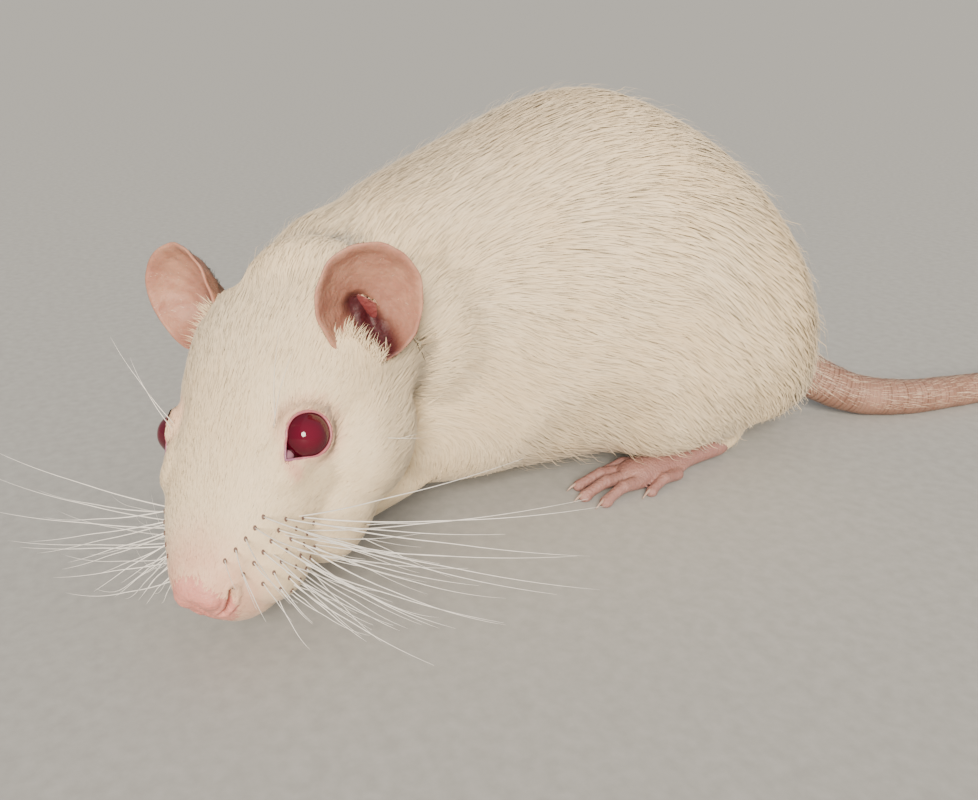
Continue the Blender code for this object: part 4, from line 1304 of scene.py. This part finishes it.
def dress(skin):
    """The coat over the skin, in pieces of the head and the body."""
    draw = np.random.default_rng(COAT_SEED)
    tree = search_tree(skin.data)

    def width_of(lengths):
        return TUFT_WIDTH + TUFT_WIDENING * lengths

    def density(points):
        _, lengths, _ = coat_at(points)
        return COAT_COVER / (lengths * width_of(lengths))

    roots = scatter(skin.data, density, draw)
    normals = np.array([tree.find_nearest(root)[1] for root in roots])
    coated = ~bald(roots, normals)
    roots, normals = roots[coated], normals[coated]
    count = len(roots)
    ways, lengths, lifts = coat_at(roots)
    marks, on_head = coat_marks(roots)
    swirl = rumple(roots, 9.0) * 0.2 + rumple(roots, 2.6, 9.3) * 0.07 + draw.normal(0, 0.1, count)
    ways = unit(ways - normals * np.sum(ways * normals, axis=1, keepdims=True))
    ways = ways * np.cos(swirl)[:, None] + np.cross(normals, ways) * np.sin(swirl)[:, None]
    lengths = lengths * draw.uniform(0.75, 1.2, count)
    lifts = COAT_LIFT * lifts * draw.uniform(0.55, 1.4, count) + 0.8 * rumple(roots, 3.5, 4.1)
    stray = draw.uniform(0, 1, count) < STRAY_SHARE
    lifts[stray] = lifts[stray] * 2.0 + draw.uniform(1, 12, stray.sum())
    calm = stray & on_head
    lifts[calm] = 3 + 0.35 * lifts[calm]
    lifts = np.clip(lifts * np.where(on_head, 0.8, 1.0), 1.8, 35)
    widths = width_of(lengths) * draw.uniform(0.75, 1.25, count)
    widths = widths * np.where(stray, 0.6, 1.0) * np.where(lifts > 8, 0.75, 1.0)
    tint = coat_tint(to_head(roots))
    path, first = follow_skin(tree, roots, ways, lengths, lifts)
    path[:, :, 2] = np.maximum(path[:, :, 2], COAT_FLOOR)
    order = np.argsort(marks[:, 1])
    number = 0
    for group in (order[on_head[order]], order[~on_head[order]]):
        for some in np.array_split(group, math.ceil(len(group) / CHUNK_TUFTS)):
            number += 1
            own = marks[some].copy()
            own[:, 1] = (own[:, 1] - own[:, 1].min()) / (np.ptp(own[:, 1]) + 1e-6)
            name = f"coat_{number:02d}"
            tuft_piece(name, path[some], first[some], widths[some], draw, own, MATERIALS["fur"], tint[some])


def coat_tint(spots):
    """How much skin shows through the coat, which is thin near the nose, the lips, the lids and their folds."""
    tint = 0.95 * fade(0.7, 1.75, nose_reach(spots))
    for side in (LEFT, RIGHT):
        tint = np.maximum(tint, 0.62 * fade(4.3, 6.3, eye_gap(spots, side)))
        tint = np.maximum(tint, 0.9 * fade(0.6, 1.7, near_curve(spots, fold_line(side))))
    line, low = lip_gap(spots)
    lips = low & (spots[:, 0] > -23)
    return np.maximum(tint, 0.5 * fade(0.8, 2.4, np.abs(line)) * lips)


def coat_ear(name, place):
    """The fine down on an ear's back and rim, and the longer hair in front of its canal."""
    side = SIDES[name]
    draw = np.random.default_rng(EAR_SEED + side)
    turn = np.array(place.to_3x3())
    count = EAR_DOWN_HAIRS
    reach = np.sqrt(draw.uniform(0.3, 0.95, count))
    angle = draw.uniform(0, 2 * np.pi, count)
    inner, outward, facing = ear_grain(reach, angle, side)
    back = (draw.uniform(0, 1, count) < 0.96) | (canal_share(inner, side, CANAL_SHADE) > 0)
    facing = facing * np.where(back, -1.0, 1.0)[:, None]
    roots = inner + facing * np.where(back, ear_thickness(reach), 0.0)[:, None]
    ways = unit(unit(outward) + 0.25 * draw.normal(0, 1, (count, 3)))
    lengths = draw.uniform(0.6, 1.2, count) * np.where(back, 1.0, 0.6) * (1.5 - reach)
    path = out_of(place, hair_path(roots, ways, lengths, facing, ((0, -0.03), (0.5, 0.1), (1.0, 0.16))))
    marks = np.stack([angle / 7, reach * 0.9], axis=1)
    widths = np.full(count, 0.07)
    tuft_piece(f"ear_down_{name}", path, facing @ turn.T, widths, draw, marks, MATERIALS["down"])
    count = EAR_TUFT_HAIRS
    share = draw.uniform(0, 1, count)
    low = np.array([1.6, 0.4, -0.6])
    high = np.array([-0.4, -4.6, 5.2])
    roots = low + (high - low) * share[:, None] + draw.normal(0, 0.4, (count, 3))
    ways = unit(np.array([0.45, 0.15, 0.85]) + draw.normal(0, 0.2, (count, 3)))
    lengths = draw.uniform(1.6, 4.4, count)
    curve = np.array([-0.2, 0.45, -0.3])
    path = hair_path(roots, ways, lengths, curve, [(t, 0.3 * t * t) for t in (0, 0.5, 1.0)])
    path = out_of(place, path * np.array([1, side, 1]))
    normals = np.tile((turn @ np.array([1.0, 0, 0]))[None], (count, 1))
    marks = draw.uniform(0, 0.99, (count, 2))
    tuft_piece(f"ear_tuft_{name}", path, normals, np.full(count, 0.11), draw, marks, MATERIALS["fur"])


def whisker_line(root, way, length, sweep):
    """Points along a whisker, which bends back and stays above the floor."""
    places = []
    for step in range(WHISKER_STEPS):
        share = step / (WHISKER_STEPS - 1)
        spot = HEAD @ (Vector(root + way * length * share + sweep * share * share) * MM)
        lifted = 0.5 * (spot.z + math.hypot(spot.z, FLOOR_CLEARANCE)) + 0.2 * FLOOR_CLEARANCE
        spot.z += (lifted - spot.z) * min(1, 2 * share)
        places.append(spot)
    return places


def whisker_way(side, heading, lift):
    """The way a whisker leaves the skin, from its angle out from the nose's way and its rise, in degrees."""
    heading, lift = math.radians(heading), math.radians(lift)
    level = math.cos(lift)
    return np.array([math.cos(heading) * level, side * math.sin(heading) * level, math.sin(lift)])


def long_whiskers(side):
    """The three rows of longest whiskers: root, way, length, bend and thickness."""
    generator = random.Random(LONG_WHISKER_SEEDS[side])
    found = []
    for row in range(3):
        for column in range(3):
            place = (-8.4 - 2.8 * column - 0.8 * row, 8 + 0.8 * column, -6.4 + 2.6 * row)
            heading = 62 + 13 * column + generator.uniform(-4, 4)
            lift = -8 + 13 * row + generator.uniform(-3, 3)
            length = 30 + 7.5 * column + generator.uniform(-3, 3)
            bend = np.array([-1, 0, -0.15]) * length * 0.16
            found.append((np.array(sided(place, side)), whisker_way(side, heading, lift), length, bend, 0.115))
    return found


def pad_whiskers(side, tree, draw):
    """The whiskers of a pad's rows, and the places and normals of the pits they grow from, where dots of
    painted shade go.
    """
    found, pits = [], []
    for back, height, row, column in follicles():
        start = HEAD @ (Vector((back, 30 * side, height)) * MM)
        spot, normal, _, _ = tree.ray_cast(start, HEAD.to_3x3() @ Vector((0.0, -side, 0.0)))
        pits.append((spot + normal * 0.16 * MM, normal))
        root = to_head(np.array([spot[:]]))[0]
        heading = 34 + 9.5 * column + draw.uniform(-7, 7)
        lift = 5 - 13 * row + draw.uniform(-7, 7)
        length = (10 + 6.0 * column) * draw.uniform(0.8, 1.15)
        way = whisker_way(side, heading, lift)
        bend = np.array([-1.0, 0, -0.25]) * length * draw.uniform(0.12, 0.26)
        found.append((root - way * 0.6, way, length, bend, 0.085 + 0.006 * column))
    return found, pits


def long_hairs(side, draw):
    """The fine whiskers under a pad, and a few long hairs over an eye and on a cheek."""
    found = []
    for k in range(CHIN_WHISKERS):
        root = np.array(sided((-7.0 - 1.0 * k, 5.6 + 0.3 * k, -8.6 - 0.15 * k), side))
        way = unit(np.array([0.55 - 0.03 * k, 0.6 * side, -0.6]) + draw.normal(0, 0.17, 3))
        found.append((root, way, draw.uniform(9, 24), np.array([-3.0, 0, -0.5]), 0.08))
    brow = np.array(sided((-24.5, 9.8, 9.6), side))
    for k in range(2):
        way = unit(np.array([-0.35 + 0.12 * k, 0.5 * side, 0.85]) + draw.normal(0, 0.09, 3))
        root = brow + np.array([-0.8 * k, 0.25 * side, 0])
        found.append((root, way, 11 + 4 * k, np.array([-3.0, 0, -1.0]), 0.06))
    cheek = np.array(sided((-29, 13.5, -5), side))
    for k in range(2):
        way = unit(np.array([-0.25 + 0.3 * k, 0.95 * side, -0.25]))
        root = cheek + np.array([-1.5 * k, 0, 1.5 * k])
        found.append((root, way, 9 + 2 * k, np.array([-2.5, 0, -1.5]), 0.06))
    return found


def make_whiskers(skin):
    """The whiskers and the face's long hairs on both sides, and dark dots of painted shade at the pits that
    whiskers grow from.
    """
    draw = np.random.default_rng(WHISKER_SEED)
    tree = search_tree(skin.data)
    for name, side in SIDES.items():
        fan, pits = pad_whiskers(side, tree, draw)
        strands = long_whiskers(side) + fan + long_hairs(side, draw)

        def fill(bm):
            for root, way, length, bend, thick in strands:
                places = whisker_line(root, way, length, bend)
                rings = []
                for step, spot in enumerate(places):
                    along = places[min(step + 1, WHISKER_STEPS - 1)] - places[max(step - 1, 0)]
                    radius = (thick * (1 - step / (WHISKER_STEPS - 1)) ** 0.85 + 0.014) * MM
                    rings.append(section(axis_frame(spot, along), radius, radius, radius, 5))
                add_loft(bm, rings)

        # Dark dots of painted shade at the pits, standing a little out of the skin.
        def fill_pit_shades(bm):
            for spot, normal in pits:
                place = axis_frame(spot, normal)
                add_ball(bm, place, (0, 0, 0), (0.14, 0.27, 0.4), 8)

        keep_piece(make_object(f"whiskers_{name}", fill), MATERIALS["whisker"], "fur")
        keep_piece(make_object(f"whisker_pit_shades_{name}", fill_pit_shades), MATERIALS["pit_shade"], "fur")


# Materials


def node_material(name, roughness):
    """A material with a Principled shader, its node tree and its shader."""
    material = bpy.data.materials.new(name)
    material.use_nodes = True
    tree = material.node_tree
    shader = tree.nodes["Principled BSDF"]
    shader.inputs["Roughness"].default_value = roughness
    return material, tree, shader


def add_node(tree, kind, **settings):
    """A new node with some of its properties set."""
    node = tree.nodes.new(kind)
    for name, value in settings.items():
        setattr(node, name, value)
    return node


def spread_value(tree, value, start, end, low=0.0, high=1.0, kind="LINEAR"):
    """A value's range spread over another range."""
    spread = add_node(tree, "ShaderNodeMapRange", interpolation_type=kind)
    for name, limit in (("From Min", start), ("From Max", end), ("To Min", low), ("To Max", high)):
        spread.inputs[name].default_value = limit
    tree.links.new(value, spread.inputs["Value"])
    return spread.outputs["Result"]


def noise_value(tree, scale, detail=3.0, low=0.0, high=1.0):
    """Noise over the object's own coordinates, spread between two values."""
    coords = add_node(tree, "ShaderNodeTexCoord")
    pattern = add_node(tree, "ShaderNodeTexNoise")
    pattern.inputs["Scale"].default_value = scale
    pattern.inputs["Detail"].default_value = detail
    tree.links.new(coords.outputs["Object"], pattern.inputs["Vector"])
    return spread_value(tree, pattern.outputs["Fac"], 0.3, 0.7, low, high)


def value_of(tree, name):
    """The stored number of each point."""
    return add_node(tree, "ShaderNodeAttribute", attribute_name=name).outputs["Fac"]


def mix_colours(tree, share, first, second):
    """A mix of two colours, each a colour or another node's output."""
    mix = add_node(tree, "ShaderNodeMix", data_type="RGBA")
    tree.links.new(share, mix.inputs["Factor"])
    for place, colour in (("A", first), ("B", second)):
        socket = next(s for s in mix.inputs if s.name == place and s.type == "RGBA")
        if isinstance(colour, tuple):
            socket.default_value = (*colour, 1)
        else:
            tree.links.new(colour, socket)
    return next(s for s in mix.outputs if s.type == "RGBA")


def add_bump(tree, shader, height, strength, distance):
    """Bump from a height."""
    bump = add_node(tree, "ShaderNodeBump")
    bump.inputs["Strength"].default_value = strength
    bump.inputs["Distance"].default_value = distance
    tree.links.new(height, bump.inputs["Height"])
    tree.links.new(bump.outputs["Normal"], shader.inputs["Normal"])


def fur_colour(tree):
    """Cream white coat, warmer and, with painted shade, darker on the flanks than on the head, pink where the
    hair is thin.
    """
    coords = add_node(tree, "ShaderNodeTexCoord")
    parts = add_node(tree, "ShaderNodeSeparateXYZ")
    tree.links.new(coords.outputs["Object"], parts.inputs["Vector"])
    along = spread_value(tree, parts.outputs["Y"], -60 * MM, 10 * MM, kind="SMOOTHSTEP")
    front = mix_colours(tree, noise_value(tree, 70), (0.86, 0.665, 0.42), (0.90, 0.75, 0.525))
    # The rear's colours are the flanks' warmer tone, made darker with painted shade.
    rear = mix_colours(tree, noise_value(tree, 55), (0.67, 0.470, 0.225), (0.765, 0.585, 0.32))
    body = mix_colours(tree, along, front, rear)
    return mix_colours(tree, value_of(tree, "tint"), body, (0.78, 0.36, 0.28))


def fur_material():
    """Creamy white hair, darkened with painted shade towards its roots."""
    material, tree, shader = node_material("fur", 0.62)
    body = fur_colour(tree)
    pale = mix_colours(tree, value_of(tree, "tone"), (0.77, 0.59, 0.36), (0.90, 0.78, 0.58))
    toned = mix_colours(tree, noise_value(tree, 300, 2, 0.2, 0.5), body, pale)
    # Painted shade deep in the coat: each hair darkens towards its root.
    share = spread_value(tree, value_of(tree, "along"), 0.0, 1.0, 0.65)
    root_shaded = mix_colours(tree, share, (0.70, 0.52, 0.31), toned)
    tree.links.new(root_shaded, shader.inputs["Base Color"])
    shader.inputs["Sheen Weight"].default_value = 0.2
    shader.inputs["Sheen Roughness"].default_value = 0.5
    shader.inputs["Specular IOR Level"].default_value = 0.25
    return material


def down_material():
    """Fine white down."""
    material, tree, shader = node_material("down", 0.6)
    colour = mix_colours(tree, value_of(tree, "tone"), (0.62, 0.43, 0.31), (0.76, 0.60, 0.46))
    tree.links.new(colour, shader.inputs["Base Color"])
    shader.inputs["Specular IOR Level"].default_value = 0.3
    return material


def skin_material(name, colours, roughness, bump_scale, bump, glow):
    """Bare or thinly haired skin, mottled, deeper pink round the eyes, and painted shade in its hollows and
    creases.
    """
    pale, deep, dark = colours
    material, tree, shader = node_material(name, roughness)
    mottled = mix_colours(tree, noise_value(tree, 260, 4), pale, deep)
    # Deeper where flushed: the skin's own pink round the eyes, painted shade under the ears' cups and round
    # their canals.
    base = mix_colours(tree, value_of(tree, "flush_and_shade"), mottled, tuple(part * 0.72 for part in deep))
    under = mix_colours(tree, value_of(tree, "bare"), fur_colour(tree), base)
    # Dark marks: painted shade in the nostrils, the mouth's line, the eyes' folds and the ears' canals; on the
    # lids, the lilac of the front corner.
    shaded = mix_colours(tree, value_of(tree, "dark"), under, dark)
    tree.links.new(shaded, shader.inputs["Base Color"])
    shader.inputs["Subsurface Weight"].default_value = glow
    shader.inputs["Subsurface Radius"].default_value = (1.0, 0.35, 0.2)
    shader.inputs["Subsurface Scale"].default_value = 1.6 * MM
    add_bump(tree, shader, noise_value(tree, bump_scale, 6), bump, 0.25 * MM)
    return material


def tail_material():
    """The tail's scaly skin: pink-brown darkened with painted shade, and more painted shade in the furrows
    between its rings.
    """
    material, tree, shader = node_material("tail", 0.5)
    # The tail's pink, darkened with painted shade.
    base = mix_colours(tree, noise_value(tree, 160, 4), (0.23, 0.12, 0.085), (0.33, 0.19, 0.14))
    # Painted shade in the furrows between the rings.
    furrow_shade = spread_value(tree, value_of(tree, "ring"), 0.55, 1.0)
    ring_shaded = mix_colours(tree, furrow_shade, base, (0.14, 0.066, 0.045))
    tree.links.new(ring_shaded, shader.inputs["Base Color"])
    shader.inputs["Subsurface Weight"].default_value = 0.1
    shader.inputs["Subsurface Scale"].default_value = 1.0 * MM
    add_bump(tree, shader, noise_value(tree, 2600, 3), 0.35, 0.15 * MM)
    return material


def eye_material():
    """A wet ruby eye, with a painted glow in its middle and painted shade towards its edge."""
    material, tree, shader = node_material("eye", 0.05)
    # Painted glow where the eye faces out along its gaze, painted shade towards its edge.
    middle = spread_value(tree, value_of(tree, "facing"), 0.45, 1.0)
    colour = mix_colours(tree, middle, (0.036, 0.0003, 0.004), (0.105, 0.0006, 0.014))
    tree.links.new(colour, shader.inputs["Base Color"])
    shader.inputs["Specular IOR Level"].default_value = 0.0
    shader.inputs["Coat Weight"].default_value = 1.0
    shader.inputs["Coat Roughness"].default_value = 0.02
    return material


def plain_material(name, colour, roughness, transmission=0.0):
    """A finish with a faint mottle."""
    material, tree, shader = node_material(name, roughness)
    darker = tuple(part * 0.86 for part in colour)
    tree.links.new(mix_colours(tree, noise_value(tree, 400), darker, colour), shader.inputs["Base Color"])
    shader.inputs["Transmission Weight"].default_value = transmission
    return material


# Pale, deep and dark colours of each kind of skin. The dark ones are painted shade, save the lids' lilac
# corner;
# the pink of the ears and of the feet is darkened with painted shade.
SKIN_COLOURS = ((0.74, 0.335, 0.27), (0.62, 0.235, 0.195), (0.16, 0.025, 0.03))
SHADED_EAR_COLOURS = ((0.50, 0.265, 0.18), (0.39, 0.175, 0.125), (0.05, 0.002, 0.006))
LID_COLOURS = ((0.50, 0.165, 0.185), (0.40, 0.12, 0.16), (0.33, 0.135, 0.215))
SHADED_FOOT_COLOURS = ((0.36, 0.19, 0.165), (0.28, 0.135, 0.12), (0.2, 0.03, 0.03))

MATERIALS = {
    "fur": fur_material(),
    "down": down_material(),
    "skin": skin_material("skin", SKIN_COLOURS, 0.5, 1500, 0.5, 0.12),
    "ear": skin_material("ear", SHADED_EAR_COLOURS, 0.55, 900, 0.45, 0.2),
    "lid": skin_material("lid", LID_COLOURS, 0.28, 1200, 0.3, 0.1),
    "foot": skin_material("foot", SHADED_FOOT_COLOURS, 0.5, 1800, 0.6, 0.12),
    "corner": plain_material("corner", (0.30, 0.135, 0.185), 0.3),
    "claw": plain_material("claw", (0.52, 0.36, 0.29), 0.3, 0.2),
    "tail": tail_material(),
    "eye": eye_material(),
    "whisker": plain_material("whisker", (0.92, 0.89, 0.84), 0.35),
    # Painted shade of the whiskers' pits.
    "pit_shade": plain_material("pit_shade", (0.17, 0.10, 0.08), 0.7),
}


def light_sun(name, heading, height, energy, softness, colour):
    """A soft distant light from a compass heading and a height above the floor, in degrees."""
    lamp = bpy.data.lights.new(name, "SUN")
    lamp.energy = energy
    lamp.angle = math.radians(softness)
    lamp.color = colour
    level = math.cos(math.radians(height))
    heading = math.radians(heading)
    place = Vector((math.cos(heading) * level, math.sin(heading) * level, math.sin(math.radians(height))))
    add_object(name, lamp).rotation_euler = place.to_track_quat("Z", "Y").to_euler()


def make_stage():
    """The pale floor, the soft lights and the camera."""
    bm = bmesh.new()
    bmesh.ops.create_grid(bm, x_segments=8, y_segments=8, size=FLOOR_SIZE)
    mesh = bpy.data.meshes.new("floor")
    bm.to_mesh(mesh)
    bm.free()
    floor = add_object("floor", mesh)
    floor.data.materials.append(plain_material("floor", (0.43, 0.43, 0.42), 0.75))
    light_sun("key", -26, 27, 6.6, 24, (1.0, 0.89, 0.74))
    light_sun("fill", 45, 30, 0.6, 150, (1.0, 0.96, 0.90))
    world = bpy.data.worlds.new("studio")
    world.use_nodes = True
    world.node_tree.nodes["Background"].inputs["Color"].default_value = (0.94, 0.95, 0.95, 1)
    world.node_tree.nodes["Background"].inputs["Strength"].default_value = 0.42
    bpy.context.scene.world = world
    view = bpy.data.cameras.new("view")
    view.sensor_width = CAMERA_SENSOR
    view.lens = CAMERA_FOCAL
    view.clip_start = 0.005
    camera = add_object("view", view)
    level = Vector((-math.sin(CAMERA_AZIMUTH), math.cos(CAMERA_AZIMUTH), 0))
    look = level * math.cos(CAMERA_PITCH) - UP * math.sin(CAMERA_PITCH)
    camera.rotation_euler = look.to_track_quat("-Z", "Y").to_euler()
    camera.location = CAMERA_PLACE + SHIFT
    bpy.context.scene.camera = camera


def main():
    """Dresses the model and sets the stage."""
    skin = make_skin()
    dress(skin)
    make_whiskers(skin)
    keep_piece(skin, MATERIALS["skin"], "fur", *FLESH)
    for name in SIDES:
        make_ear(name)
        make_eye(name)
        make_lids(name)
    make_feet()
    make_tail()
    make_stage()


main()
bpy.context.view_layer.update()
